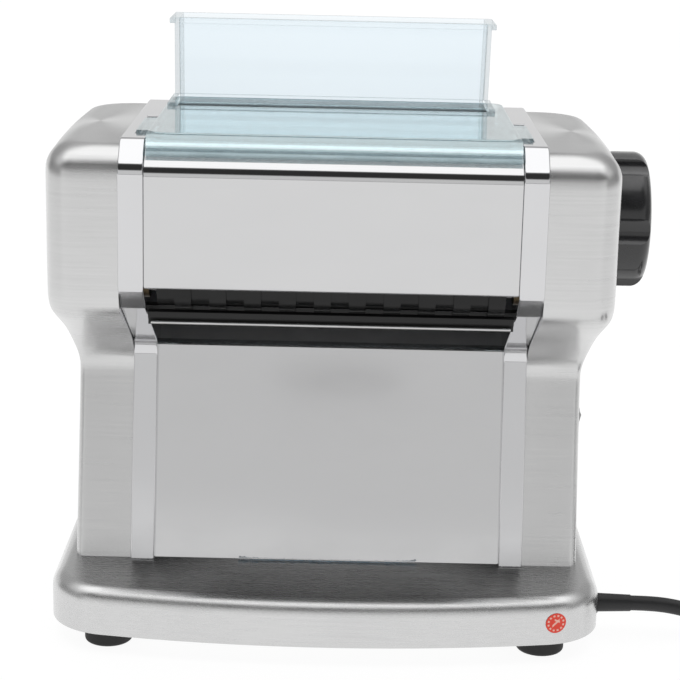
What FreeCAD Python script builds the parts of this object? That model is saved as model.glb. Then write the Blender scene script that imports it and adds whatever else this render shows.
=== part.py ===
import FreeCAD, Part
import math
import os
import Sketcher

# Electric pasta maker: a head with two smooth rollers and two grooved cutters, carried on two
# polished side frames over a low steel base, with the gear train in the left shell.
# The machine's own frame: X to its right, Y to its back, Z up, origin on the counter.

os.makedirs("parts", exist_ok=True)
doc = FreeCAD.newDocument("pasta_maker")
sheet = doc.addObject("Spreadsheet::Sheet", "Sizes")

DRIVING = [
    # base
    ("base_wide", 300, "width of the base pan"),
    ("base_deep", 230, "depth of the base pan at its middle"),
    ("base_bow", 680, "radius of the bowed front and back edges"),
    ("base_corner", 36, "corner radius of the base seen from above"),
    ("base_low", 11, "height of the pan's lower edge over the counter"),
    ("base_top", 36, "height of the pan's top face"),
    ("base_fold", 8, "radius of the fold round the top face"),
    ("pan_wall", 1.2, "sheet thickness of the pan"),
    ("plate_thick", 1.5, "thickness of the bottom plate"),
    ("foot_radius", 13, "radius of a rubber foot"),
    ("foot_across", 118, "feet from the mid-plane"),
    ("foot_deep", 83, "feet from the middle, front and back"),
    # side frames
    ("frame_in", 96, "inner face of a side frame from the mid-plane"),
    ("frame_wide", 13, "thickness of a side frame"),
    ("head_front", 108, "front face of the frames before the middle"),
    ("head_back", 86, "back face behind the middle"),
    ("head_top", 278, "height of the frame tops"),
    ("head_low", 202, "height of the front face's lower edge"),
    ("head_bevel", 13, "bevel between the front face and the top"),
    ("chin_back", 14, "depth of the facet under the front face"),
    ("chin_low", 189, "height of the lower edge of that facet"),
    ("neck_front", 31, "neck before the middle, below the head"),
    ("neck_high", 155, "height of the neck"),
    ("leg_front", 56, "front of the legs at the base"),
    ("crown_round", 33, "radius of the head's back top corner"),
    ("notch_deep", 3, "depth of the notch for the guard's tabs"),
    # shells
    ("shell_out", 145.6, "outer face of the shells in the head"),
    ("leg_out", 140, "outer face of the shells in the legs"),
    ("shell_wall", 1.2, "wall of the shells"),
    ("shell_step", 3.5, "step back of the shells behind the frame edges"),
    ("shell_crown", 33, "radius along the shells' outer top corner"),
    ("shell_chin", 14, "radius along the shells' outer lower corner"),
    ("shell_edge", 11, "radius round the shells' front"),
    ("shell_back", 20, "radius round the shells' back"),
    ("leg_edge", 4, "radius round the legs"),
    # plates
    ("skin", 1.5, "thickness of the front and back plates"),
    ("plate_step", 1.5, "front plate behind the frame edges"),
    ("panel_step", 5, "lower panel behind the leg edges"),
    ("lip_long", 7, "length of the lower panel's lip"),
    # rollers
    ("roller_radius", 20, "radius of the smooth rollers"),
    ("roller_gap", 1, "gap between the smooth rollers at rest"),
    ("roller_end", 4, "roller face from the side frame"),
    ("roller_high", 228, "height of the smooth rollers"),
    ("roller_front_y", -20, "front smooth roller"),
    ("journal", 9, "radius of the rollers' journals"),
    ("bush_wall", 4, "wall of the bushes"),
    ("bush_rim", 1.5, "thickness of a bush's rim"),
    ("block_high", 32, "height of a sliding block"),
    ("block_long", 28, "length of a sliding block"),
    ("roller_travel", 3, "travel of the front roller"),
    # cutters
    ("cutter_radius", 17, "radius of the cutters' rings"),
    ("cutter_mesh", 2, "depth that the rings reach into the grooves"),
    ("cutter_rear_y", -53, "rear cutter"),
    ("cutter_high", 204, "height of the cutters"),
    ("noodle_wide", 9, "width of a noodle"),
    ("ring_play", 0.35, "side play of a ring in its groove"),
    ("cutter_journal", 7, "radius of the cutters' journals"),
    # gears
    ("tooth_unit", 1.64, "module of the roller gears"),
    ("drive_unit", 1.6, "module of the other gears"),
    ("gear_wide", 6, "width of a gear"),
    ("gear_space", 2, "space between the gear planes"),
    ("motor_y", 25, "motor axis"),
    ("motor_high", 118, "height of the motor axis"),
    ("motor_radius", 36, "radius of the motor"),
    ("motor_long", 112, "length of the motor"),
    ("motor_shaft", 5, "radius of the motor's shaft"),
    ("pin_radius", 5, "radius of the pins that carry the idler and the reducer"),
    # guard and hopper
    ("guard_front", 94, "guard's front before the middle"),
    ("guard_back", 50, "guard's back behind the middle"),
    ("guard_rise", 3, "guard's top over the frames"),
    ("guard_wall", 2.5, "wall of the guard"),
    ("tab_long", 46, "length of a guard tab"),
    ("tab_wide", 6.5, "reach of a guard tab over the frame"),
    ("hopper_wide", 177, "width of the hopper at its rim"),
    ("hopper_taper", 9, "how much narrower it is at the bottom"),
    ("hopper_deep", 34, "depth of the hopper from front to back"),
    ("hopper_wall", 2.5, "wall of the hopper"),
    ("hopper_low", 258, "height of the hopper's mouth"),
    ("hopper_top", 327, "height of the hopper's rim"),
    ("hopper_front", -5, "front of the hopper's mouth"),
    ("hopper_lean", 0.66, "lean backwards for each unit of height"),
    # knob, switch
    ("knob_radius", 37, "radius of the thickness knob"),
    ("knob_thick", 20, "thickness of the knob"),
    ("knob_off", 4.5, "knob from the shell"),
    ("spindle", 6, "radius of the knob's spindle"),
    ("cam_radius", 12, "radius of the eccentric"),
    ("cam_throw", 1.5, "throw of the eccentric"),
    ("cam_gap", 0.4, "gap between the eccentric and the arm at rest"),
    ("switch_high", 103, "height of the switch"),
    ("switch_y", -4, "switch from the middle"),
    ("switch_tall", 29, "height of the switch's frame"),
    ("switch_wide", 22, "width of the switch's frame"),
    # lead
    ("lead_radius", 4.2, "radius of the mains lead"),
    ("lead_y", -60, "lead where it leaves the base"),
    ("lead_high", 18.2, "height of the lead where it leaves the base"),
    ("gland_long", 20, "length of the strain relief"),
    # fits
    ("running", 0.05, "radial clearance of a shaft in its bush"),
    ("seated", 0.02, "radial clearance of a bush in its bore"),
    ("sliding", 0.1, "clearance of a part that slides"),
    ("apart", 0.3, "clearance between curved faces that are close"),
]

for row, (alias, value, remark) in enumerate(DRIVING, start=1):
    sheet.set("A%d" % row, alias)
    sheet.set("B%d" % row, str(value))
    sheet.setAlias("B%d" % row, alias)
    sheet.set("C%d" % row, remark)
doc.recompute()


def size(alias):
    """A driving dimension as a plain number."""
    return float(sheet.get(alias))


def number(text):
    """The value of an expression on the sheet."""
    return float(sheet.evalExpression(text))


def sized(text):
    """An expression in which $ stands for the sheet."""
    return text.replace("$", "Sizes.")


# The knob's outer face and the base's left side are the widest points, and the origin lies between.
KNOB_FACE = sized("($shell_out + $knob_off + $knob_thick)")
CENTRE_X = sized("-(" + KNOB_FACE + " - $base_wide / 2) / 2")

# The gear planes, from the frame outwards.
PLANE_A = sized("($frame_in + $frame_wide + $gear_space)")
PLANE_B = "(" + PLANE_A + sized(" + $gear_wide + $gear_space)")
PLANE_C = "(" + PLANE_B + sized(" + $gear_wide + $gear_space)")
ROLLER_STEP = sized("(2 * $roller_radius + $roller_gap)")
ROLLER_REAR_Y = sized("($roller_front_y + ") + ROLLER_STEP + ")"
CUTTER_STEP = sized("(2 * $cutter_radius - $cutter_mesh)")
CUTTER_FRONT_Y = sized("($cutter_rear_y - ") + CUTTER_STEP + ")"


def plane_of(body, role):
    """One of a body's own origin planes."""
    for item in body.Origin.OriginFeatures:
        if item.Role == role:
            return item
    raise ValueError("no plane " + role)


def new_body(label):
    """A body in the machine's frame, moved so that the origin is the middle of its box."""
    body = doc.addObject("PartDesign::Body", label)
    body.Label = label
    body.setExpression("Placement.Base.x", CENTRE_X)
    return body


def new_sketch(body, name, plane, start):
    """A sketch on an origin plane, raised by an expression."""
    sketch = body.newObject("Sketcher::SketchObject", name)
    sketch.AttachmentSupport = [(plane_of(body, plane), "")]
    sketch.MapMode = "FlatFace"
    sketch.setExpression("AttachmentOffset.Base.z", start)
    return sketch


def pin_point(sketch, geometry, position, across, up):
    """Ties one point of a sketch to two expressions, measured from the sketch's origin."""
    for kind, text, axis in (("DistanceX", across, -2), ("DistanceY", up, -1)):
        value = number(text)
        if abs(value) < 1e-9:
            sketch.addConstraint(Sketcher.Constraint("PointOnObject", geometry, position, axis))
            continue
        if value > 0:
            rule = Sketcher.Constraint(kind, -1, 1, geometry, position, value)
        else:
            rule = Sketcher.Constraint(kind, geometry, position, -1, 1, -value)
            text = "-(" + text + ")"
        index = sketch.addConstraint(rule)
        sketch.setExpression("Constraints[%d]" % index, text)


def outline(body, name, plane, start, corners, bows=None):
    """A closed outline through corners given as expressions.

    An edge named in bows is an arc that swells outwards, and the corners run counter-clockwise.
    """
    bows = bows or {}
    corners = [(sized(a), sized(b)) for a, b in corners]
    sketch = new_sketch(body, name, plane, sized(start))
    points = [FreeCAD.Vector(number(a), number(b), 0) for a, b in corners]
    count = len(points)
    for i, first in enumerate(points):
        last = points[(i + 1) % count]
        if i in bows:
            radius = number(sized(bows[i]))
            half = last.sub(first).multiply(0.5)
            out = FreeCAD.Vector(half.y, -half.x, 0).normalize()
            sag = radius - math.sqrt(radius ** 2 - half.Length ** 2)
            middle = first.add(half).add(out.multiply(sag))
            sketch.addGeometry(Part.Arc(first, middle, last), False)
        else:
            sketch.addGeometry(Part.LineSegment(first, last), False)
    for i in range(count):
        sketch.addConstraint(Sketcher.Constraint("Coincident", i, 2, (i + 1) % count, 1))
    for i, (across, up) in enumerate(corners):
        pin_point(sketch, i, 1, across, up)
    for i, radius in bows.items():
        index = sketch.addConstraint(Sketcher.Constraint("Radius", i, number(sized(radius))))
        sketch.setExpression("Constraints[%d]" % index, sized(radius))
    return sketch


def discs(body, name, plane, start, centres, radius):
    """A sketch of equal circles."""
    sketch = new_sketch(body, name, plane, sized(start))
    radius = sized(radius)
    for i, (across, up) in enumerate(centres):
        across, up = sized(across), sized(up)
        centre = FreeCAD.Vector(number(across), number(up), 0)
        sketch.addGeometry(Part.Circle(centre, FreeCAD.Vector(0, 0, 1), number(radius)), False)
        pin_point(sketch, i, 3, across, up)
        index = sketch.addConstraint(Sketcher.Constraint("Radius", i, number(radius)))
        sketch.setExpression("Constraints[%d]" % index, radius)
    return sketch


def pad(body, name, sketch, length, backwards=False):
    """Adds a sketch's outline along its normal."""
    feature = body.newObject("PartDesign::Pad", name)
    feature.Profile = sketch
    feature.Reversed = backwards
    feature.setExpression("Length", sized(length))
    doc.recompute()
    return feature


def pocket(body, name, sketch, length):
    """Cuts a sketch's outline along its normal, and makes sure that it cuts."""
    before = body.Shape.Volume
    feature = body.newObject("PartDesign::Pocket", name)
    feature.Profile = sketch
    feature.Reversed = True
    feature.setExpression("Length", sized(length))
    doc.recompute()
    if body.Shape.Volume > before - 0.01:
        raise ValueError(name + " cuts nothing")
    return feature


def straight(edge, axis):
    """Whether an edge is a straight line along an axis."""
    if edge.Curve.TypeId != "Part::GeomLine":
        return False
    return abs(abs(edge.Curve.Direction.dot(axis)) - 1) < 1e-6


def near(edge, **wanted):
    """Whether the middle of an edge lies at the wanted coordinates."""
    centre = edge.CenterOfMass
    return all(abs(getattr(centre, key) - value) < 0.4 for key, value in wanted.items())


def round_edges(body, name, radius, test):
    """Rounds the edges that pass a test."""
    base = body.Tip
    names = ["Edge%d" % (i + 1) for i, edge in enumerate(base.Shape.Edges) if test(edge)]
    if not names:
        raise ValueError(name + " finds no edge")
    feature = body.newObject("PartDesign::Fillet", name)
    feature.Base = (base, names)
    feature.setExpression("Radius", sized(radius))
    doc.recompute()
    return feature


X_AXIS = FreeCAD.Vector(1, 0, 0)
Y_AXIS = FreeCAD.Vector(0, 1, 0)
Z_AXIS = FreeCAD.Vector(0, 0, 1)


def side_name(side):
    """The name of a side, from its sign."""
    return "right" if side > 0 else "left"


def side_start(side, inner, outer):
    """Where a piece on one side starts along X, so that it runs from inner to outer."""
    return inner if side > 0 else "-(" + outer + ")"


def add_cylinder(label, axis, radius, length, place, bore=None, bodied=True):
    """A plain round piece, perhaps with a bore, along X or Z."""
    plane = "YZ_Plane" if axis == "X" else "XY_Plane"
    body = new_body(label)
    if axis == "X":
        start, centre = place[0], (place[1], place[2])
    else:
        start, centre = place[2], (place[0], place[1])
    pad(body, label + "_pad", discs(body, label + "_disc", plane, start, [centre], radius), length)
    if bore:
        hole = discs(body, label + "_hole", plane, start, [centre], bore)
        pocket(body, label + "_bore", hole, length)
    return body


# Base pan

def base_corners(inset):
    """The base seen from above: straight sides, bowed front and back."""
    across = "($base_wide / 2 - %s)" % inset
    deep = "($base_deep / 2 - %s)" % inset
    bow = "($base_bow - %s)" % inset
    end = "(%s - (%s - sqrt(%s ^ 2 - %s ^ 2)))" % (deep, bow, bow, across)
    corners = [("-" + across, "-" + end), (across, "-" + end), (across, end), ("-" + across, end)]
    return corners, {0: bow, 2: bow}


def base_slab(label, inset, low, high, corner):
    """A slab with the base's outline, drawn in by an inset."""
    body = new_body(label)
    corners, bows = base_corners(inset)
    sketch = outline(body, label + "_outline", "XY_Plane", low, corners, bows)
    pad(body, label + "_slab", sketch, "%s - %s" % (high, low))
    round_edges(body, label + "_corners", corner, lambda edge: straight(edge, Z_AXIS))
    return body


def make_base_pan():
    """The pressed pan: a slab with a folded rim, hollow from below."""
    body = base_slab("base_pan", "0", "$base_low", "$base_top", "$base_corner")
    top = size("base_top")
    round_edges(body, "pan_fold", "$base_fold", lambda edge: abs(edge.BoundBox.ZMin - top) < 1e-6)
    base = body.Tip
    low = size("base_low")
    faces = [
        "Face%d" % (i + 1)
        for i, face in enumerate(base.Shape.Faces)
        if abs(face.BoundBox.ZMax - low) < 1e-6
    ]
    feature = body.newObject("PartDesign::Thickness", "pan_hollow")
    feature.Base = (base, faces)
    feature.Reversed = True
    feature.setExpression("Value", "Sizes.pan_wall")
    doc.recompute()
    hole = discs(body, "lead_hole", "YZ_Plane", "$base_wide / 2 - 4", [("$lead_y", "$lead_high")],
                 "$lead_radius + 1.1")
    pocket(body, "lead_cut", hole, "8")
    return body


def make_base_plate():
    """The flat plate that closes the pan from below, just inside its walls."""
    inset = "($pan_wall + $seated)"
    body = base_slab("base_plate", inset, "$base_low", "($base_low + $plate_thick)",
                     "$base_corner - $pan_wall - $seated")
    return body


def make_feet():
    """Four rubber feet, each narrower at the counter, with a recess for its screw."""
    for front, deep in (("front", "-$foot_deep"), ("back", "$foot_deep")):
        for side in (-1, 1):
            label = "foot_%s_%s" % (front, side_name(side))
            body = new_body(label)
            across = "%d * $foot_across" % side
            sketch = discs(body, label + "_disc", "XY_Plane", "0", [(across, deep)], "$foot_radius")
            pad(body, label + "_pad", sketch, "$base_low")
            round_edges(body, label + "_edge", "2", lambda edge: edge.BoundBox.ZMax < 1e-6)
            recess = discs(body, label + "_recess", "XY_Plane", "0", [(across, deep)], "5")
            pocket(body, label + "_seat", recess, "4")


def make_foot_screws():
    """The four screws that hold the feet, one node."""
    links = []
    for i, (across, deep) in enumerate(((-1, -1), (1, -1), (-1, 1), (1, 1))):
        head = doc.addObject("Part::Cylinder", "foot_screw_head_%d" % i)
        head.setExpression("Radius", "4.2")
        head.setExpression("Height", "2.5")
        head.setExpression("Placement.Base.x", CENTRE_X + sized(" + %d * $foot_across" % across))
        head.setExpression("Placement.Base.y", sized("%d * $foot_deep" % deep))
        head.setExpression("Placement.Base.z", "4 - 2.5")
        links.append(head)
    group = doc.addObject("Part::Compound", "foot_screws")
    group.Label = "foot_screws"
    group.Links = links
    return group


# Side frames

def frame_corners(step, top_step="0"):
    """The machine's side view: base, back, crown, front face, chin, neck and leg.

    The outline is drawn in by a step along the front, and by a second one along the top.
    """
    return [
        ("-$leg_front + " + step, "$base_top"),
        ("$head_back - " + top_step, "$base_top"),
        ("$head_back - " + top_step, "$head_top - " + top_step),
        ("-$head_front + $head_bevel + " + step, "$head_top - " + top_step),
        ("-$head_front + " + step, "$head_top - $head_bevel - " + top_step),
        ("-$head_front + " + step, "$head_low"),
        ("-$head_front + $chin_back + " + step, "$chin_low"),
        ("-$neck_front + " + step, "$neck_high"),
    ]


def make_frame(side):
    """A thick polished side frame with its bores, its roller slot and the guard's notch."""
    label = side_name(side) + "_side_frame"
    body = new_body(label)
    start = side_start(side, "$frame_in", "$frame_in + $frame_wide")
    sketch = outline(body, label + "_outline", "YZ_Plane", start, frame_corners("0"))
    pad(body, label + "_plate", sketch, "$frame_wide")
    back, top = size("head_back"), size("head_top")
    round_edges(body, label + "_crown", "$crown_round",
                lambda edge: straight(edge, X_AXIS) and near(edge, y=back, z=top))
    chin_y, chin_z = size("chin_back") - size("head_front"), size("chin_low")
    round_edges(body, label + "_chin", "6",
                lambda edge: straight(edge, X_AXIS) and near(edge, y=chin_y, z=chin_z))
    neck_y, neck_z = -size("neck_front"), size("neck_high")
    round_edges(body, label + "_neck", "10",
                lambda edge: straight(edge, X_AXIS) and near(edge, y=neck_y, z=neck_z))
    face, wide = start, "$frame_wide"
    bores = discs(body, label + "_roller_bore", "YZ_Plane", face,
                  [(ROLLER_REAR_Y, "$roller_high")], "$journal + $bush_wall")
    pocket(body, label + "_roller_cut", bores, wide)
    bores = discs(body, label + "_cutter_bores", "YZ_Plane", face,
                  [("$cutter_rear_y", "$cutter_high"), (CUTTER_FRONT_Y, "$cutter_high")],
                  "$cutter_journal + $bush_wall / 2")
    pocket(body, label + "_cutter_cut", bores, wide)
    slot_front = "($roller_front_y - $block_long / 2 - $roller_travel - $sliding)"
    slot_back = "($roller_front_y + $block_long / 2 + $sliding)"
    slot_low = "($roller_high - $block_high / 2)"
    slot_high = "($roller_high + $block_high / 2 + $sliding)"
    slot = outline(body, label + "_slot", "YZ_Plane", face,
                   [(slot_front, slot_low), (slot_back, slot_low),
                    (slot_back, slot_high), (slot_front, slot_high)])
    pocket(body, label + "_slot_cut", slot, wide)
    notch_start = side_start(side, "$frame_in", "$frame_in + $tab_wide + $apart")
    front = "-$guard_front + 16"
    notch = outline(body, label + "_notch", "YZ_Plane", notch_start,
                    [(front, "$head_top - $notch_deep"),
                     (front + " + $tab_long + 20", "$head_top - $notch_deep"),
                     (front + " + $tab_long + 20", "$head_top + 1"), (front, "$head_top + 1")])
    pocket(body, label + "_notch_cut", notch, "$tab_wide + $apart")
    if side < 0:
        hole = discs(body, label + "_motor_hole", "YZ_Plane", face,
                     [("$motor_y", "$motor_high")], "7")
        pocket(body, label + "_motor_cut", hole, wide)
    return body


# Plates between the frames

def sheet_piece(label, corners, inner="$frame_in", bends=()):
    """A bent sheet between the frames, given by its edge view, with some bends rounded."""
    body = new_body(label)
    sketch = outline(body, label + "_profile", "YZ_Plane", "-(" + inner + ")", corners)
    pad(body, label + "_sheet", sketch, "2 * " + inner)
    for i, (y, z, radius) in enumerate(bends):
        at_y, at_z = number(sized(y)), number(sized(z))
        round_edges(body, "%s_bend_%d" % (label, i), radius,
                    lambda edge: straight(edge, X_AXIS) and near(edge, y=at_y, z=at_z))
    return body


def make_upper_front_plate():
    """The polished plate before the rollers: bevelled over the top, returned below."""
    front = "(-$head_front + $plate_step)"
    top = "($head_top - $plate_step)"
    bevel = "($head_bevel)"
    slim = "($skin * 0.4142)"
    corners = [
        (front, "$head_low"),
        (front + " + 4", "$head_low"),
        (front + " + 4", "$head_low + $skin"),
        (front + " + $skin", "$head_low + $skin"),
        (front + " + $skin", top + " - " + bevel + " - " + slim),
        (front + " + " + bevel + " + " + slim, top + " - $skin"),
        (front + " + " + bevel + " + 6", top + " - $skin"),
        (front + " + " + bevel + " + 6", top),
        (front + " + " + bevel, top),
        (front, top + " - " + bevel),
    ]
    return sheet_piece("upper_front_plate", corners, bends=[
        (front, "$head_low", "2.5"),
        (front + " + $skin", "$head_low + $skin", "1"),
    ])


def make_lower_front_panel():
    """The polished sloping panel that the dough slides down, with a lip and a foot flange."""
    low_y = "(-$leg_front + $panel_step)"
    high_y = "(-$neck_front + $panel_step)"
    high_z = "($neck_high - 2)"
    corners = [
        (low_y, "$base_top"),
        (low_y + " + 14", "$base_top"),
        (low_y + " + 14", "$base_top + $skin"),
        (low_y + " + $skin * 1.3", "$base_top + $skin"),
        (high_y + " + $skin", high_z + " - $skin"),
        (high_y + " + $lip_long", high_z + " - $skin + 1"),
        (high_y + " + $lip_long", high_z + " + 1"),
        (high_y, high_z),
    ]
    return sheet_piece("lower_front_panel", corners, bends=[(high_y, high_z, "1.2")])


def make_rear_panel():
    """The plain back panel, bent over the crown to the guard's back edge."""
    back = "($head_back - 1)"
    top = "($head_top - 1)"
    corners = [
        (back + " - 14", "$base_top"),
        (back, "$base_top"),
        (back, top),
        ("$guard_back + $apart", top),
        ("$guard_back + $apart", top + " - $skin"),
        (back + " - $skin", top + " - $skin"),
        (back + " - $skin", "$base_top + $skin"),
        (back + " - 14", "$base_top + $skin"),
    ]
    return sheet_piece("rear_panel", corners, bends=[
        (back, top, "$crown_round - 1"),
        (back + " - $skin", top + " - $skin", "$crown_round - 1 - $skin"),
    ])


def make_dough_chute():
    """The slope under the smooth rollers that leads the sheet over the panel's lip."""
    low_y = "(-$neck_front + $panel_step + $lip_long + $apart)"
    low_z = "($neck_high - 1)"
    high_y = "(" + ROLLER_REAR_Y + " + $roller_radius + 6)"
    high_z = "($neck_high + 26)"
    corners = [
        (low_y, low_z + " - $skin"),
        (high_y, high_z + " - $skin"),
        (high_y + " + $skin", high_z + " + 14"),
        (high_y, high_z + " + 14"),
        (high_y + " - $skin", high_z),
        (low_y, low_z),
    ]
    return sheet_piece("dough_chute", corners)


# Rollers, blocks and bushes

def make_smooth_roller(label, y, left_end):
    """A smooth roller with a journal at each end; the left one carries a gear."""
    body = new_body(label)
    face = "($frame_in - $roller_end)"
    at = [(y, "$roller_high")]
    barrel = discs(body, label + "_barrel_disc", "YZ_Plane", "-" + face, at, "$roller_radius")
    pad(body, label + "_barrel", barrel, "2 * " + face)
    limit = size("roller_radius") - 0.5
    round_edges(body, label + "_arris", "0.8",
                lambda edge: edge.Curve.TypeId == "Part::GeomCircle" and edge.Curve.Radius > limit)
    right_end = "($frame_in + $frame_wide + 1)"
    journal = discs(body, label + "_journal_disc", "YZ_Plane", "-" + left_end, at, "$journal")
    pad(body, label + "_journal", journal, left_end + " + " + right_end)
    return body


def make_cutter(label, y, first):
    """A grooved cutting roller: rings of one noodle's width, every second one cut away."""
    body = new_body(label)
    pairs = int((size("frame_in") - size("roller_end")) // size("noodle_wide"))
    half = "(%d * $noodle_wide)" % pairs
    at = [(y, "$cutter_high")]
    core = "($cutter_radius - $cutter_mesh - $apart)"
    barrel = discs(body, label + "_core_disc", "YZ_Plane", "-" + half, at, core)
    pad(body, label + "_core", barrel, "2 * " + half)
    ring_start = "(-%s + %d * $noodle_wide + $ring_play / 2)" % (half, first)
    ring = discs(body, label + "_ring_disc", "YZ_Plane", ring_start, at, "$cutter_radius")
    first_ring = pad(body, label + "_ring", ring, "$noodle_wide - $ring_play")
    pattern = body.newObject("PartDesign::LinearPattern", label + "_rings")
    pattern.Originals = [first_ring]
    pattern.Direction = (ring, ["N_Axis"])
    pattern.Occurrences = pairs
    pattern.setExpression("Length", sized("%d * 2 * $noodle_wide" % (pairs - 1)))
    body.Tip = pattern
    doc.recompute()
    left_end = "(" + PLANE_B + " + $gear_wide)"
    right_end = "($frame_in + $frame_wide)"
    journal = discs(body, label + "_journal_disc", "YZ_Plane", "-" + left_end, at, "$cutter_journal")
    pad(body, label + "_journal", journal, left_end + " + " + right_end)
    return body


def make_bush(label, side, y, z, bore, wall):
    """A rimmed bush, pressed into a side frame from the inside."""
    body = new_body(label)
    start = side_start(side, "$frame_in", "$frame_in + $frame_wide")
    rim_start = side_start(side, "($frame_in - $bush_rim)", "$frame_in")
    at = [(y, z)]
    sleeve = discs(body, label + "_sleeve_disc", "YZ_Plane", start, at, bore + " + " + wall + " - $seated")
    pad(body, label + "_sleeve", sleeve, "$frame_wide")
    rim = discs(body, label + "_rim_disc", "YZ_Plane", rim_start, at, bore + " + " + wall + " + 1.5")
    pad(body, label + "_rim", rim, "$bush_rim")
    whole = side_start(side, "($frame_in - $bush_rim)", "$frame_in + $frame_wide")
    hole = discs(body, label + "_bore_disc", "YZ_Plane", whole, at, bore + " + $running")
    pocket(body, label + "_bore", hole, "$frame_wide + $bush_rim")
    return body


def make_roller_block(side):
    """The block that carries one end of the front smooth roller and slides in the frame's slot."""
    label = side_name(side) + "_roller_block"
    body = new_body(label)
    start = side_start(side, "$frame_in", "$frame_in + $frame_wide")
    front = "($roller_front_y - $block_long / 2)"
    back = "($roller_front_y + $block_long / 2)"
    low = "($roller_high - $block_high / 2)"
    high = "($roller_high + $block_high / 2)"
    sketch = outline(body, label + "_outline", "YZ_Plane", start,
                     [(front, low), (back, low), (back, high), (front, high)])
    pad(body, label + "_block", sketch, "$frame_wide")
    if side > 0:
        arm_y = "($roller_front_y - $cam_radius + $cam_throw - $cam_gap)"
        arm = outline(body, label + "_arm_outline", "YZ_Plane", "$frame_in",
                      [(front, low), (arm_y, low), (arm_y, high), (front, high)])
        pad(body, label + "_arm", arm, "$frame_wide + 9")
    hole = discs(body, label + "_hole", "YZ_Plane", start,
                 [("$roller_front_y", "$roller_high")], "$journal + $running")
    pocket(body, label + "_bore", hole, "$frame_wide")
    return body


# Scrapers and combs under the rollers

def make_tie_rods():
    """The rods that hold the side frames apart, with a screw head outside each end."""
    rods = []
    for i, (y, z) in enumerate((
        ("-$neck_front - 10", "$neck_high + 18"),
        ("$head_back - 16", "$base_top + 30"),
        ("$head_back - 24", "$head_top - 22"),
    )):
        rod = doc.addObject("Part::Cylinder", "tie_rod_%d" % i)
        rod.setExpression("Radius", "4")
        rod.setExpression("Height", sized("2 * $frame_in"))
        rod.Placement.Rotation = FreeCAD.Rotation(Y_AXIS, 90)
        rod.setExpression("Placement.Base.x", CENTRE_X + sized(" - $frame_in"))
        rod.setExpression("Placement.Base.y", sized(y))
        rod.setExpression("Placement.Base.z", sized(z))
        rods.append(rod)
        for side in (-1, 1):
            head = doc.addObject("Part::Cylinder", "tie_screw_%d_%s" % (i, side_name(side)))
            head.setExpression("Radius", "3.5")
            head.setExpression("Height", "2.2")
            head.Placement.Rotation = FreeCAD.Rotation(Y_AXIS, 90)
            start = side_start(side, "($frame_in + $frame_wide)", "$frame_in + $frame_wide + 2.2")
            head.setExpression("Placement.Base.x", CENTRE_X + sized(" + " + start))
            head.setExpression("Placement.Base.y", sized(y))
            head.setExpression("Placement.Base.z", sized(z))
            rods.append(head)
    group = doc.addObject("Part::Compound", "tie_rods")
    group.Label = "tie_rods"
    group.Links = rods


def make_comb(label, y, first, direction):
    """A comb whose teeth stand in a cutter's grooves and lift the noodles out."""
    body = new_body(label)
    pairs = int((size("frame_in") - size("roller_end")) // size("noodle_wide"))
    low = "($cutter_high - $cutter_radius - 8)"
    front = "(%s - 4)" % y
    rail = outline(body, label + "_rail_outline", "YZ_Plane", "-$frame_in",
                   [(front, low), (front + " + 8", low), (front + " + 8", low + " + 3"),
                    (front, low + " + 3")])
    pad(body, label + "_rail", rail, "2 * $frame_in")
    half = "(%d * $noodle_wide)" % pairs
    start = "(-%s + %d * $noodle_wide + 2)" % (half, first)
    tip = "($cutter_high - $cutter_radius + $cutter_mesh + $apart - 0.6)"
    tooth = outline(body, label + "_tooth_outline", "YZ_Plane", start,
                    [("%s - 3" % y, low + " + 3"), ("%s + 3" % y, low + " + 3"),
                     ("%s + %d" % (y, 1 + direction), tip), ("%s + %d" % (y, direction - 1), tip)])
    first_tooth = pad(body, label + "_tooth", tooth, "$noodle_wide - 4")
    pattern = body.newObject("PartDesign::LinearPattern", label + "_teeth")
    pattern.Originals = [first_tooth]
    pattern.Direction = (tooth, ["N_Axis"])
    pattern.Occurrences = pairs
    pattern.setExpression("Length", sized("%d * 2 * $noodle_wide" % (pairs - 1)))
    body.Tip = pattern
    doc.recompute()
    return body


# Gears

def mesh_phase(teeth, phase, other_teeth, angle):
    """The phase of a gear that meshes with one at a known phase, in a direction from it."""
    part = ((angle - phase) / (360.0 / teeth)) % 1.0
    return angle + 180.0 - (0.5 - part) * 360.0 / other_teeth


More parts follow.
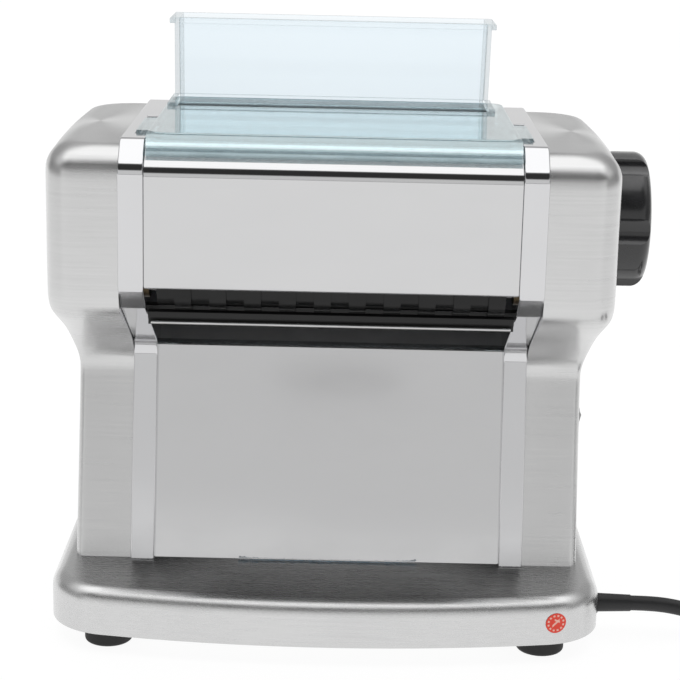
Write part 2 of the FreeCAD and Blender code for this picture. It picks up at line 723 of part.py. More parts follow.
def make_gear(label, teeth, unit, bore, place, phase):
    """A spur gear about its own axis: a blank, one tooth and its pattern, and a bore.

    A tooth is a tapered outline, narrower than its space, and the gear is then turned and placed.
    """
    body = doc.addObject("PartDesign::Body", label)
    body.Label = label
    pitch = "(%d * %s / 2)" % (teeth, unit)
    root = "(%s - 1.1 * %s)" % (pitch, unit)
    tip = "(%s + 0.7 * %s)" % (pitch, unit)
    blank = discs(body, label + "_blank_disc", "YZ_Plane", "0", [("0", "0")], root)
    pad(body, label + "_blank", blank, "$gear_wide")
    tooth = outline(body, label + "_tooth_outline", "YZ_Plane", "0", [
        (root + " - 0.3", "-0.95 * " + unit),
        (tip, "-0.36 * " + unit),
        (tip, "0.36 * " + unit),
        (root + " - 0.3", "0.95 * " + unit),
    ])
    first_tooth = pad(body, label + "_tooth", tooth, "$gear_wide")
    pattern = body.newObject("PartDesign::PolarPattern", label + "_teeth")
    pattern.Originals = [first_tooth]
    pattern.Axis = (tooth, ["N_Axis"])
    pattern.Angle = 360
    pattern.Occurrences = teeth
    body.Tip = pattern
    doc.recompute()
    hole = discs(body, label + "_hole", "YZ_Plane", "0", [("0", "0")], bore)
    pocket(body, label + "_bore", hole, "$gear_wide")
    body.setExpression("Placement.Base.x", CENTRE_X + sized(" - " + place[0] + " - $gear_wide"))
    body.setExpression("Placement.Base.y", sized(place[1]))
    body.setExpression("Placement.Base.z", sized(place[2]))
    body.Placement.Rotation = FreeCAD.Rotation(X_AXIS, phase)
    doc.recompute()
    return body


# Drive: motor, pins and shafts

def idler_place():
    """Where the idler meshes with both the drive gear and the rear cutter's gear."""
    unit = size("drive_unit")
    from_drive = (DRIVE_TEETH + IDLER_TEETH) * unit / 2
    from_cutter = (CUTTER_TEETH + IDLER_TEETH) * unit / 2
    drive = (number(ROLLER_REAR_Y), size("roller_high"))
    cutter = (size("cutter_rear_y"), size("cutter_high"))
    reach = math.dist(drive, cutter)
    along = (from_drive ** 2 - from_cutter ** 2 + reach ** 2) / (2 * reach)
    off = math.sqrt(from_drive ** 2 - along ** 2)
    unit_y, unit_z = (cutter[0] - drive[0]) / reach, (cutter[1] - drive[1]) / reach
    return drive[0] + unit_y * along - unit_z * off, drive[1] + unit_z * along + unit_y * off


def reducer_place():
    """Where the reducer meshes with both the drive gear and the motor's pinion."""
    unit = size("drive_unit")
    from_drive = (DRIVE_TEETH + REDUCER_SMALL_TEETH) * unit / 2
    from_motor = (REDUCER_BIG_TEETH + PINION_TEETH) * unit / 2
    drive = (number(ROLLER_REAR_Y), size("roller_high"))
    motor = (size("motor_y"), size("motor_high"))
    reach = math.dist(drive, motor)
    along = (from_drive ** 2 - from_motor ** 2 + reach ** 2) / (2 * reach)
    off = math.sqrt(max(0.0, from_drive ** 2 - along ** 2))
    unit_y, unit_z = (motor[0] - drive[0]) / reach, (motor[1] - drive[1]) / reach
    return drive[0] + unit_y * along - unit_z * off, drive[1] + unit_z * along + unit_y * off


def angle_to(first, second):
    """The direction from one axis to another in the side view, in degrees."""
    return math.degrees(math.atan2(second[1] - first[1], second[0] - first[0]))


def make_gear_train():
    """The gears in their three planes, each turned so that its teeth stand in its neighbour's spaces."""
    rear = (number(ROLLER_REAR_Y), size("roller_high"))
    front = (size("roller_front_y"), size("roller_high"))
    cutter_rear = (size("cutter_rear_y"), size("cutter_high"))
    cutter_front = (number(CUTTER_FRONT_Y), size("cutter_high"))
    motor = (size("motor_y"), size("motor_high"))
    idler, reducer = idler_place(), reducer_place()

    def place(plane, axis):
        return plane, repr(axis[0]), repr(axis[1])

    roller_bore, cutter_bore = "$journal", "$cutter_journal"
    make_gear("rear_roller_gear", ROLLER_TEETH, "$tooth_unit", roller_bore, place(PLANE_A, rear), 0.0)
    phase = mesh_phase(ROLLER_TEETH, 0.0, ROLLER_TEETH, 180.0)
    make_gear("front_roller_gear", ROLLER_TEETH, "$tooth_unit", roller_bore, place(PLANE_A, front), phase)
    make_gear("drive_gear", DRIVE_TEETH, "$drive_unit", roller_bore, place(PLANE_B, rear), 0.0)
    idler_phase = mesh_phase(DRIVE_TEETH, 0.0, IDLER_TEETH, angle_to(rear, idler))
    make_gear("idler_gear", IDLER_TEETH, "$drive_unit", "$pin_radius + $running",
              place(PLANE_B, idler), idler_phase)
    rear_phase = mesh_phase(IDLER_TEETH, idler_phase, CUTTER_TEETH, angle_to(idler, cutter_rear))
    make_gear("rear_cutter_gear", CUTTER_TEETH, "$drive_unit", cutter_bore,
              place(PLANE_B, cutter_rear), rear_phase)
    front_phase = mesh_phase(CUTTER_TEETH, rear_phase, CUTTER_TEETH, 180.0)
    make_gear("front_cutter_gear", CUTTER_TEETH, "$drive_unit", cutter_bore,
              place(PLANE_B, cutter_front), front_phase)
    small_phase = mesh_phase(DRIVE_TEETH, 0.0, REDUCER_SMALL_TEETH, angle_to(rear, reducer))
    make_gear("reducer_small_gear", REDUCER_SMALL_TEETH, "$drive_unit", "$pin_radius + $running",
              place(PLANE_B, reducer), small_phase)
    make_gear("reducer_big_gear", REDUCER_BIG_TEETH, "$drive_unit", "$pin_radius + $running",
              place(PLANE_C, reducer), 0.0)
    pinion_phase = mesh_phase(REDUCER_BIG_TEETH, 0.0, PINION_TEETH, angle_to(reducer, motor))
    make_gear("motor_pinion", PINION_TEETH, "$drive_unit", "$motor_shaft", place(PLANE_C, motor),
              pinion_phase)
    make_pin("idler_pin", idler, PLANE_B, PLANE_B, "0")
    make_pin("reducer_pin", reducer, PLANE_B, PLANE_C, "1.5")
    hub = new_body("reducer_hub")
    at = [(repr(reducer[0]), repr(reducer[1]))]
    disc = discs(hub, "reducer_hub_disc", "YZ_Plane", "-" + PLANE_C, at, "$pin_radius + 4")
    pad(hub, "reducer_hub_pad", disc, "$gear_space")
    hole = discs(hub, "reducer_hub_hole", "YZ_Plane", "-" + PLANE_C, at, "$pin_radius + $running")
    pocket(hub, "reducer_hub_bore", hole, "$gear_space")


def make_pin(label, axis, first, last, step):
    """A pin on the left side frame: a thick shoulder up to its first gear and a thin end."""
    body = new_body(label)
    at = [(repr(axis[0]), repr(axis[1]))]
    root = "($frame_in + $frame_wide)"
    shoulder = discs(body, label + "_shoulder_disc", "YZ_Plane", "-(" + first + " - $apart)", at,
                     "$pin_radius + " + step)
    pad(body, label + "_shoulder", shoulder, first + " - $apart - " + root)
    end = "(" + last + " + $gear_wide + 0.5)"
    thin = discs(body, label + "_thin_disc", "YZ_Plane", "-" + end, at, "$pin_radius")
    pad(body, label + "_thin", thin, end + " - " + root)


def make_motor():
    """The motor's can with its end flange, against the left side frame."""
    body = new_body("motor_can")
    at = [("$motor_y", "$motor_high")]
    flange = discs(body, "motor_flange_disc", "YZ_Plane", "-$frame_in", at, "$motor_radius + 4")
    pad(body, "motor_flange", flange, "4")
    can = discs(body, "motor_can_disc", "YZ_Plane", "-$frame_in", at, "$motor_radius")
    pad(body, "motor_can_pad", can, "$motor_long")
    far = size("motor_long") - size("frame_in")
    round_edges(body, "motor_can_edge", "5", lambda edge: abs(edge.BoundBox.XMin - far) < 1e-6
                and abs(edge.BoundBox.XMax - far) < 1e-6)
    hole = discs(body, "motor_nose_disc", "YZ_Plane", "-$frame_in", at, "$motor_shaft + $running")
    pocket(body, "motor_nose", hole, "40")
    shaft = new_body("motor_shaft")
    end = "(" + PLANE_C + " + $gear_wide)"
    disc = discs(shaft, "motor_shaft_disc", "YZ_Plane", "-" + end, at, "$motor_shaft")
    pad(shaft, "motor_shaft_pad", disc, end + " - $frame_in + 38")
    cradle = new_body("motor_cradle")
    corners = [
        ("$motor_y - 30", "$base_top"), ("$motor_y + 30", "$base_top"),
        ("$motor_y + 30", "$base_top + 3"), ("$motor_y + 18", "$base_top + 3"),
        ("$motor_y + 14", "$motor_high - $motor_radius"),
        ("$motor_y - 14", "$motor_high - $motor_radius"),
        ("$motor_y - 18", "$base_top + 3"), ("$motor_y - 30", "$base_top + 3"),
    ]
    sketch = outline(cradle, "motor_cradle_outline", "YZ_Plane", "-$frame_in + $motor_long - 24", corners)
    pad(cradle, "motor_cradle_pad", sketch, "16")
    saddle = discs(cradle, "motor_cradle_saddle", "YZ_Plane", "-$frame_in + $motor_long - 24", at,
                   "$motor_radius + $seated")
    pocket(cradle, "motor_cradle_cut", saddle, "16")


def make_capacitor():
    """The motor's capacitor, standing on the base in the right leg."""
    body = new_body("capacitor")
    sketch = discs(body, "capacitor_disc", "XY_Plane", "$base_top", [("$leg_out - 16", "48")], "12")
    pad(body, "capacitor_can", sketch, "58")
    top = size("base_top") + 58
    round_edges(body, "capacitor_edge", "2", lambda edge: abs(edge.BoundBox.ZMin - top) < 1e-6)


# Shells

def shell_form(label, side, inset):
    """The outer or inner form of a shell: the head's block with its roundings, and the leg below."""
    head = new_body(label + "_head")
    reach = "($shell_out - %s)" % inset
    inner = "($frame_in + $frame_wide)"
    start = side_start(side, inner, reach)
    step = "($shell_step + %s)" % inset
    front = "(-$head_front + " + step + ")"
    top = "($head_top - $shell_step - %s)" % inset
    chin = "($head_low - 10 + %s)" % inset
    back = "($head_back - $shell_step - %s)" % inset
    under = "($neck_high + %s)" % inset
    head_sketch = outline(head, label + "_head_outline", "YZ_Plane", start, [
        (front, chin), ("-$neck_front + " + step, under), (back, under), (back, top), (front, top),
    ])
    pad(head, label + "_head_pad", head_sketch, reach + " - " + inner)
    out, high = side * number(sized(reach)), number(sized(top))
    ahead, behind = number(sized(front)), number(sized(back))
    near_x = side * number(sized(inner))
    round_edges(head, label + "_top", "$shell_crown - " + inset,
                lambda edge: straight(edge, Y_AXIS) and near(edge, x=out, z=high))
    round_edges(head, label + "_chin", "$shell_chin - " + inset,
                lambda edge: near(edge, x=out) and edge.BoundBox.YLength > 20
                and edge.BoundBox.ZLength > 5 and edge.CenterOfMass.z < number(sized(chin)))
    round_edges(head, label + "_front", "$shell_edge - " + inset,
                lambda edge: edge.BoundBox.YMax < ahead + 1e-4
                and abs(edge.CenterOfMass.x - near_x) > 1e-3)
    round_edges(head, label + "_back", "$shell_back - " + inset,
                lambda edge: edge.BoundBox.YMin > behind - 1e-4
                and abs(edge.CenterOfMass.x - near_x) > 1e-3 and edge.BoundBox.ZMax > high - 60)
    leg = new_body(label + "_leg")
    leg_reach = "($leg_out - %s)" % inset
    leg_start = side_start(side, inner, leg_reach)
    leg_front = "(-$leg_front + " + step + ")"
    buried = "($neck_high + 16)"
    slope = "(($leg_front - $neck_front) / ($neck_high - $base_top))"
    leg_sketch = outline(leg, label + "_leg_outline", "YZ_Plane", leg_start, [
        (leg_front, "$base_top"), (back, "$base_top"), (back, buried),
        (leg_front + " + 16 + " + slope + " * (" + buried + " - $base_top)", buried),
        ("-$neck_front + " + step, "$neck_high"),
    ])
    pad(leg, label + "_leg_pad", leg_sketch, leg_reach + " - " + inner)
    leg_out = side * number(sized(leg_reach))
    round_edges(leg, label + "_leg_edges", "$leg_edge - " + inset,
                lambda edge: abs(edge.BoundBox.XMin - leg_out) < 1e-6
                and abs(edge.BoundBox.XMax - leg_out) < 1e-6 and edge.BoundBox.ZMin < 150
                and edge.BoundBox.ZLength > 5)
    both = doc.addObject("Part::Fuse", label)
    both.Base, both.Tool = head, leg
    doc.recompute()
    return both


def make_shell(side):
    """A pressed shell over one side frame, open towards the frame and the base."""
    name = side_name(side) + "_shell"
    outer = shell_form(name + "_outer", side, "0")
    inner = shell_form(name + "_inner", side, "$shell_wall")
    hollow = doc.addObject("Part::Cut", name)
    hollow.Label = name
    hollow.Base, hollow.Tool = outer, inner
    doc.recompute()
    if side < 0:
        return hollow
    hollow.Label = name + "_uncut"
    spindle_hole = doc.addObject("Part::Cylinder", "spindle_hole")
    spindle_hole.setExpression("Radius", sized("$spindle + $apart"))
    spindle_hole.setExpression("Height", "30")
    spindle_hole.Placement.Rotation = FreeCAD.Rotation(Y_AXIS, 90)
    spindle_hole.setExpression("Placement.Base.x", CENTRE_X + sized(" + $shell_out - 20"))
    spindle_hole.setExpression("Placement.Base.y", sized("$roller_front_y"))
    spindle_hole.setExpression("Placement.Base.z", sized("$roller_high"))
    switch_hole = doc.addObject("Part::Box", "switch_hole")
    switch_hole.setExpression("Length", "20")
    switch_hole.setExpression("Width", sized("$switch_wide - 3"))
    switch_hole.setExpression("Height", sized("$switch_tall - 3"))
    switch_hole.setExpression("Placement.Base.x", CENTRE_X + sized(" + $leg_out - 10"))
    switch_hole.setExpression("Placement.Base.y", sized("$switch_y - ($switch_wide - 3) / 2"))
    switch_hole.setExpression("Placement.Base.z", sized("$switch_high - ($switch_tall - 3) / 2"))
    first = doc.addObject("Part::Cut", name + "_first_cut")
    first.Base, first.Tool = hollow, spindle_hole
    last = doc.addObject("Part::Cut", name + "_last_cut")
    last.Label = name
    last.Base, last.Tool = first, switch_hole
    doc.recompute()
    return last


# Guard and hopper

HOPPER_FRONT_LOW = "$hopper_front"
LEDGE_HIGH = "($head_top + $guard_rise)"


def lean_at(height):
    """How far the hopper has leaned back at a height."""
    return "($hopper_lean * (%s - $hopper_low))" % height


def make_guard():
    """The clear guard over the head: a tray turned over, with side tabs and the hopper's slot."""
    body = new_body("guard")
    wide = "($frame_in - $apart)"
    top = LEDGE_HIGH
    under = "($head_top - 1)"
    front, back = "-$guard_front", "$guard_back"
    block = outline(body, "guard_outline", "XY_Plane", under,
                    [("-" + wide, front), (wide, front), (wide, back), ("-" + wide, back)])
    pad(body, "guard_block", block, top + " - " + under)
    round_edges(body, "guard_corners", "9", lambda edge: straight(edge, Z_AXIS))
    high = number(sized(top))
    round_edges(body, "guard_rim", "1.2", lambda edge: abs(edge.BoundBox.ZMin - high) < 1e-6)
    wall = "$guard_wall"
    hollow = outline(body, "guard_hollow_outline", "XY_Plane", under, [
        ("-" + wide + " + " + wall, front + " + " + wall), (wide + " - " + wall, front + " + " + wall),
        (wide + " - " + wall, back + " - " + wall), ("-" + wide + " + " + wall, back + " - " + wall),
    ])
    pocket(body, "guard_hollow", hollow, top + " - " + under + " - " + wall)
    tab_low = "($head_top - $notch_deep)"
    tab_front = "(%s + 18)" % front
    for side in (-1, 1):
        start = side_start(side, wide + " - 3", "$frame_in + $tab_wide")
        tab = outline(body, "guard_tab_%s_outline" % side_name(side), "YZ_Plane", start, [
            (tab_front, tab_low), (tab_front + " + $tab_long", tab_low),
            (tab_front + " + $tab_long", tab_low + " + 4.5"), (tab_front, tab_low + " + 4.5"),
        ])
        pad(body, "guard_tab_%s" % side_name(side), tab, "$frame_in + $tab_wide - " + wide + " + 3")
    slot_wide = "($hopper_wide / 2 + 0.2)"
    slot_front = "(" + HOPPER_FRONT_LOW + " + " + lean_at(under) + " - $apart)"
    slot_back = "(" + HOPPER_FRONT_LOW + " + $hopper_deep + " + lean_at(top) + " + $apart)"
    slot = outline(body, "guard_slot_outline", "XY_Plane", under,
                   [("-" + slot_wide, slot_front), (slot_wide, slot_front),
                    (slot_wide, slot_back), ("-" + slot_wide, slot_back)])
    pocket(body, "guard_slot", slot, top + " - " + under)
    return body


def hopper_ring(body, name, height, grow, kind):
    """One level of the hopper: a rectangle that leans back and widens with the height."""
    share = "((%s - $hopper_low) / ($hopper_top - $hopper_low))" % height
    half = "(($hopper_wide - $hopper_taper * (1 - %s)) / 2 + %s)" % (share, grow)
    front = "($hopper_front + %s - %s)" % (lean_at(height), grow)
    back = "($hopper_front + $hopper_deep + %s + %s)" % (lean_at(height), grow)
    return outline(body, name, "XY_Plane", height,
                   [("-" + half, front), (half, front), (half, back), ("-" + half, back)])


def make_hopper():
    """The clear hopper: a leaning tapered frame with a rim, and a ledge that rests on the guard."""
    body = new_body("hopper")
    low = hopper_ring(body, "hopper_low_ring", "$hopper_low", "0", "outer")
    high = hopper_ring(body, "hopper_high_ring", "$hopper_top", "0", "outer")
    walls = body.newObject("PartDesign::AdditiveLoft", "hopper_walls")
    walls.Profile = low
    walls.Sections = [high]
    walls.Ruled = True
    doc.recompute()
    ledge = hopper_ring(body, "hopper_ledge_ring", LEDGE_HIGH, "4", "ledge")
    pad(body, "hopper_ledge", ledge, "2")
    rim = hopper_ring(body, "hopper_rim_ring", "($hopper_top - 3)", "2.5", "rim")
    pad(body, "hopper_rim", rim, "3")
    inner_low = hopper_ring(body, "hopper_inner_low", "($hopper_low - 0.01)", "-$hopper_wall", "inner")
    inner_high = hopper_ring(body, "hopper_inner_high", "($hopper_top + 0.01)", "-$hopper_wall", "inner")
    hollow = body.newObject("PartDesign::SubtractiveLoft", "hopper_hollow")
    hollow.Profile = inner_low
    hollow.Sections = [inner_high]
    hollow.Ruled = True
    doc.recompute()
    return body


# Knob and thickness gear

def make_knob():
    """The thickness knob with its finger recesses, on a spindle with an eccentric."""
    body = new_body("thickness_knob")
    start = "($shell_out + $knob_off)"
    at = [("$roller_front_y", "$roller_high")]
    disc = discs(body, "knob_disc", "YZ_Plane", start, at, "$knob_radius")
    pad(body, "knob_pad", disc, "$knob_thick")
    outer = number(sized(start)) + size("knob_thick")
    round_edges(body, "knob_outer_edge", "7", lambda edge: edge.BoundBox.XMin > outer - 1e-6)
    inner = number(sized(start))
    round_edges(body, "knob_inner_edge", "2", lambda edge: edge.BoundBox.XMax < inner + 1e-6)
    recess = discs(body, "knob_recess_disc", "YZ_Plane", start,
                   [("$roller_front_y - $knob_radius - 5", "$roller_high")], "9")
    first = pocket(body, "knob_recess", recess, "$knob_thick")
    pattern = body.newObject("PartDesign::PolarPattern", "knob_recesses")
    pattern.Originals = [first]
    hub = discs(body, "knob_hub_disc", "YZ_Plane", start, at, "$knob_radius / 3")
    axis = body.newObject("PartDesign::Line", "knob_axis")
    axis.setExpression("Placement.Base.y", sized("$roller_front_y"))
    axis.setExpression("Placement.Base.z", sized("$roller_high"))
    axis.Placement.Rotation = FreeCAD.Rotation(Y_AXIS, 90)
    pattern.Axis = (axis, [""])
    pattern.Angle = 360
    pattern.Occurrences = 6
    body.Tip = pattern
    doc.recompute()
    hole = discs(body, "knob_hole", "YZ_Plane", start, at, "$spindle")
    pocket(body, "knob_bore", hole, "$knob_thick - 5")
    doc.removeObject(hub.Name)
    spindle = new_body("knob_spindle")
    first_x = "($frame_in + $frame_wide + 2)"
    rod = discs(spindle, "spindle_disc", "YZ_Plane", first_x, at, "$spindle")
    pad(spindle, "spindle_rod", rod, start + " + $knob_thick - 5 - " + first_x)
    cam = discs(spindle, "cam_disc", "YZ_Plane", first_x,
                [("$roller_front_y + $cam_throw", "$roller_high")], "$cam_radius")
    pad(spindle, "cam_pad", cam, "6.5")
    bracket = new_body("spindle_bracket")
    foot_x = "($frame_in + $frame_wide)"
    low, high = "($roller_high - 26)", "($roller_high + 26)"
    wide = "9"
    plate_x = "(" + foot_x + " + 10)"
    face = outline(bracket, "bracket_face", "YZ_Plane", plate_x, [
        ("$roller_front_y - " + wide, low), ("$roller_front_y + " + wide, low),
        ("$roller_front_y + " + wide, high), ("$roller_front_y - " + wide, high)])
    pad(bracket, "bracket_plate", face, "3")
    for name, edge_z in (("low", low), ("high", high + " - 5")):
        leg = outline(bracket, "bracket_%s_outline" % name, "YZ_Plane", foot_x, [
            ("$roller_front_y - " + wide, edge_z), ("$roller_front_y + " + wide, edge_z),
            ("$roller_front_y + " + wide, edge_z + " + 5"), ("$roller_front_y - " + wide, edge_z + " + 5")])
        pad(bracket, "bracket_%s_leg" % name, leg, "10")
    hole = discs(bracket, "bracket_hole", "YZ_Plane", plate_x, at, "$spindle + $running")
    pocket(bracket, "bracket_bore", hole, "3")


# Switch

def make_switch():
    """The rocker switch in the right leg: a frame with its body, and a rocker."""
    face = "$leg_out"
    body = new_body("switch_frame")

    def rectangle(name, inset, start):
        half_wide = "($switch_wide / 2 - %s)" % inset
        half_tall = "($switch_tall / 2 - %s)" % inset
        return outline(body, name, "YZ_Plane", start, [
            ("$switch_y - " + half_wide, "$switch_high - " + half_tall),
            ("$switch_y + " + half_wide, "$switch_high - " + half_tall),
            ("$switch_y + " + half_wide, "$switch_high + " + half_tall),
            ("$switch_y - " + half_wide, "$switch_high + " + half_tall)])

    pad(body, "switch_rim", rectangle("switch_rim_outline", "0", face), "2")
    round_edges(body, "switch_rim_corners", "2", lambda edge: straight(edge, X_AXIS))
    outer = size("leg_out") + 2
    round_edges(body, "switch_rim_edge", "0.8", lambda edge: edge.BoundBox.XMin > outer - 1e-6)
    pad(body, "switch_box", rectangle("switch_box_outline", "1.8", face + " - 18"), "18")
    pocket(body, "switch_well", rectangle("switch_well_outline", "3.5", face + " - 9"), "12")
    rocker = new_body("switch_rocker")
    half = "($switch_tall / 2 - 5.2)"
    corners = [
        (face + " - 3", "$switch_high - " + half), (face + " + 0.4", "$switch_high - " + half),
        (face + " + 1.2", "$switch_high"), (face + " + 3.4", "$switch_high + " + half),
        (face + " - 3", "$switch_high + " + half),
    ]
    sketch = outline(rocker, "rocker_outline", "XZ_Plane", "-($switch_y + $switch_wide / 2 - 3.8)", corners)
    pad(rocker, "rocker_pad", sketch, "$switch_wide - 7.6")
    pivot = discs(rocker, "rocker_pivot_disc", "XZ_Plane", "-($switch_y + $switch_wide / 2 - 3.6)",
                  [(face + " - 3", "$switch_high")], "2")
    pad(rocker, "rocker_pivot", pivot, "$switch_wide - 7.2")


# Mains lead

# Points chosen by hand, from the strain relief to the coil.
LEAD_ROUTE = [
    (170.0, -60.0, 18.2),
    (183.0, -60.0, 18.2),
    (197.0, -60.6, 16.4),
    (211.0, -61.4, 12.8),
    (226.0, -62.2, 8.6),
    (242.0, -62.6, 5.4),
    (260.0, -62.8, 4.2),
    (277.0, -62.4, 4.2),
]


# The coil's middle radius, half its width, its height, and how far its middle lies past the lead's end.
COIL_MIDDLE, COIL_HALF_WIDE, COIL_HIGH, COIL_AHEAD = 46.0, 12.6, 16.8, 41.4


def make_gland():
    """The strain relief in the base's right wall: a rim, a tapering sleeve and a bore."""
    body = new_body("cord_gland")
    wall = "($base_wide / 2)"
    at = [("$lead_y", "$lead_high")]
    plug = discs(body, "gland_plug_disc", "YZ_Plane", wall + " - 3.2", at, "$lead_radius + 1")
    pad(body, "gland_plug", plug, "3.2")
    rim = discs(body, "gland_rim_disc", "YZ_Plane", wall, at, "$lead_radius + 1.8")
    pad(body, "gland_rim", rim, "1.5")
    thick = discs(body, "gland_thick_disc", "YZ_Plane", wall + " + 1.5", at, "$lead_radius + 1")
    thin = discs(body, "gland_thin_disc", "YZ_Plane", wall + " + $gland_long", at, "$lead_radius + 0.4")
    sleeve = body.newObject("PartDesign::AdditiveLoft", "gland_sleeve")
    sleeve.Profile = thick
    sleeve.Sections = [thin]
    doc.recompute()
    return body


def make_lead():
    """The lead's free stretch: straight runs joined by arcs as large as the runs allow."""
    shift = number(CENTRE_X)
    points = [FreeCAD.Vector(x + shift, y, z) for x, y, z in LEAD_ROUTE]
    edges, cursor, length = [], points[0], 0.0
    for before, here, after in zip(points, points[1:], points[2:]):
        back = before.sub(here).normalize()
        ahead = after.sub(here).normalize()
        turn = math.pi - back.getAngle(ahead)
        cut = 0.45 * min(before.distanceToPoint(here), here.distanceToPoint(after))
        start = here.add(back.multiply(cut))
        end = here.add(ahead.multiply(cut))
        chord_middle = start.add(end).multiply(0.5)
        radius = cut / math.tan(turn / 2)
        inward = chord_middle.sub(here).normalize()
        middle = here.add(inward.multiply(radius / math.cos(turn / 2) - radius))
        edges.append(Part.LineSegment(cursor, start).toShape())
        edges.append(Part.Arc(start, middle, end).toShape())
        length += cursor.distanceToPoint(start) + radius * turn
        cursor = end
    edges.append(Part.LineSegment(cursor, points[-1]).toShape())
    length += cursor.distanceToPoint(points[-1])
    radius = size("lead_radius")
    along = points[1].sub(points[0])
    section = Part.Wire(Part.makeCircle(radius, points[0], along))
    tube = Part.Wire(edges).makePipeShell([section], True, False)
    if abs(tube.Volume / (math.pi * radius ** 2 * length) - 1) > 0.01:
        raise ValueError("the lead's volume is off")
    lead = doc.addObject("Part::Feature", "power_cord")
    lead.Label = "power_cord"
    lead.Shape = tube
    return lead


def make_coil():
    """The put-away rest of the lead: a solid of the outer shape of five turns in two layers."""
    end = LEAD_ROUTE[-1]
    body = new_body("cord_coil")
    middle, wide, high = COIL_MIDDLE, COIL_HALF_WIDE, COIL_HIGH
    centre = (repr(end[0] + COIL_AHEAD), repr(end[1] + middle))
    outer = discs(body, "coil_outer_disc", "XY_Plane", "0", [centre], repr(middle + wide))
    pad(body, "coil_outer", outer, repr(high))
    inner = discs(body, "coil_inner_disc", "XY_Plane", "0", [centre], repr(middle - wide))
    pocket(body, "coil_inner", inner, repr(high))
    round_edges(body, "coil_edges", "4", lambda edge: edge.BoundBox.ZLength < 1e-6)
    return body


def make_plug():
    """A two-pin mains plug that lies beside the coil."""
    x = LEAD_ROUTE[-1][0] + COIL_AHEAD
    y = LEAD_ROUTE[-1][1] + 2 * COIL_MIDDLE + COIL_HALF_WIDE + 18.2
    grip = new_body("plug_body")
    low = outline(grip, "plug_low_outline", "XZ_Plane", repr(-(y - 18)), [
        (repr(x - 7), "0"), (repr(x + 7), "0"), (repr(x + 7), "14"), (repr(x - 7), "14")])
    high = outline(grip, "plug_high_outline", "XZ_Plane", repr(-(y + 18)), [
        (repr(x - 17), "0"), (repr(x + 17), "0"), (repr(x + 17), "14"), (repr(x - 17), "14")])
    form = grip.newObject("PartDesign::AdditiveLoft", "plug_form")
    form.Profile = low
    form.Sections = [high]
    form.Ruled = True
    doc.recompute()
    pins = []
    for i, off in enumerate((-9.3, 9.3)):
        pin = doc.addObject("Part::Cylinder", "plug_pin_%d" % i)
        pin.setExpression("Radius", "2.4")
        pin.setExpression("Height", "19")
        pin.Placement.Rotation = FreeCAD.Rotation(X_AXIS, -90)
        pin.setExpression("Placement.Base.x", CENTRE_X + " + %r" % (x + off))
        pin.setExpression("Placement.Base.y", repr(y + 18))
        pin.setExpression("Placement.Base.z", "7")
        pins.append(pin)
    group = doc.addObject("Part::Compound", "plug_pins")
    group.Label = "plug_pins"
    group.Links = pins


# Make every piece

DRIVE_TEETH, IDLER_TEETH, CUTTER_TEETH, ROLLER_TEETH = 50, 16, 20, 25
REDUCER_SMALL_TEETH, REDUCER_BIG_TEETH, PINION_TEETH = 16, 60, 12

make_base_pan()
make_base_plate()
make_feet()
make_foot_screws()
for side in (-1, 1):
    make_frame(side)
    make_roller_block(side)
    make_shell(side)
make_upper_front_plate()
make_lower_front_panel()
make_rear_panel()
make_dough_chute()

make_smooth_roller("rear_roller", ROLLER_REAR_Y, "(" + PLANE_B + " + $gear_wide)")
make_smooth_roller("front_roller", "$roller_front_y", "(" + PLANE_A + " + $gear_wide)")
make_cutter("rear_cutter", "$cutter_rear_y", 0)
make_cutter("front_cutter", CUTTER_FRONT_Y, 1)
for side in (-1, 1):
    name = side_name(side)
    make_bush(name + "_roller_bush", side, ROLLER_REAR_Y, "$roller_high", "$journal", "$bush_wall")
    make_bush(name + "_rear_cutter_bush", side, "$cutter_rear_y", "$cutter_high",
              "$cutter_journal", "$bush_wall / 2")
    make_bush(name + "_front_cutter_bush", side, CUTTER_FRONT_Y, "$cutter_high",
              "$cutter_journal", "$bush_wall / 2")
make_tie_rods()
make_comb("rear_comb", "$cutter_rear_y", 1, 1)
make_comb("front_comb", CUTTER_FRONT_Y, 0, 1)
make_gear_train()
make_motor()
make_capacitor()
make_guard()
make_hopper()
make_knob()
make_switch()
make_gland()
make_lead()
make_coil()
make_plug()


# Check every piece and write it

doc.recompute()
for item in doc.Objects:
    if "Invalid" in item.State or "Error" in item.State:
        raise ValueError(item.Name + " is " + ", ".join(item.State))

USED = set()
for item in doc.Objects:
    if hasattr(item, "Group"):
        USED.update(child.Name for child in item.Group)
    for name in ("Links", "Base", "Tool", "Shapes"):
        linked = getattr(item, name, None) if hasattr(item, name) else None
        for child in linked if isinstance(linked, list) else [linked]:
            if hasattr(child, "Name"):
                USED.add(child.Name)

for item in doc.Objects:
    if item.Name in USED or not hasattr(item, "Shape") or not hasattr(item, "Placement"):
        continue
    if item.TypeId.startswith("App::") or item.TypeId.startswith("Sketcher::"):
        continue
    if item.Shape.isNull() or not item.Shape.isValid():
        raise ValueError(item.Label + " has no valid shape")
    item.Shape.exportStep("parts/" + item.Label + ".step")
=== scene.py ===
import math

import bmesh
import bpy
from mathutils import Matrix, Vector


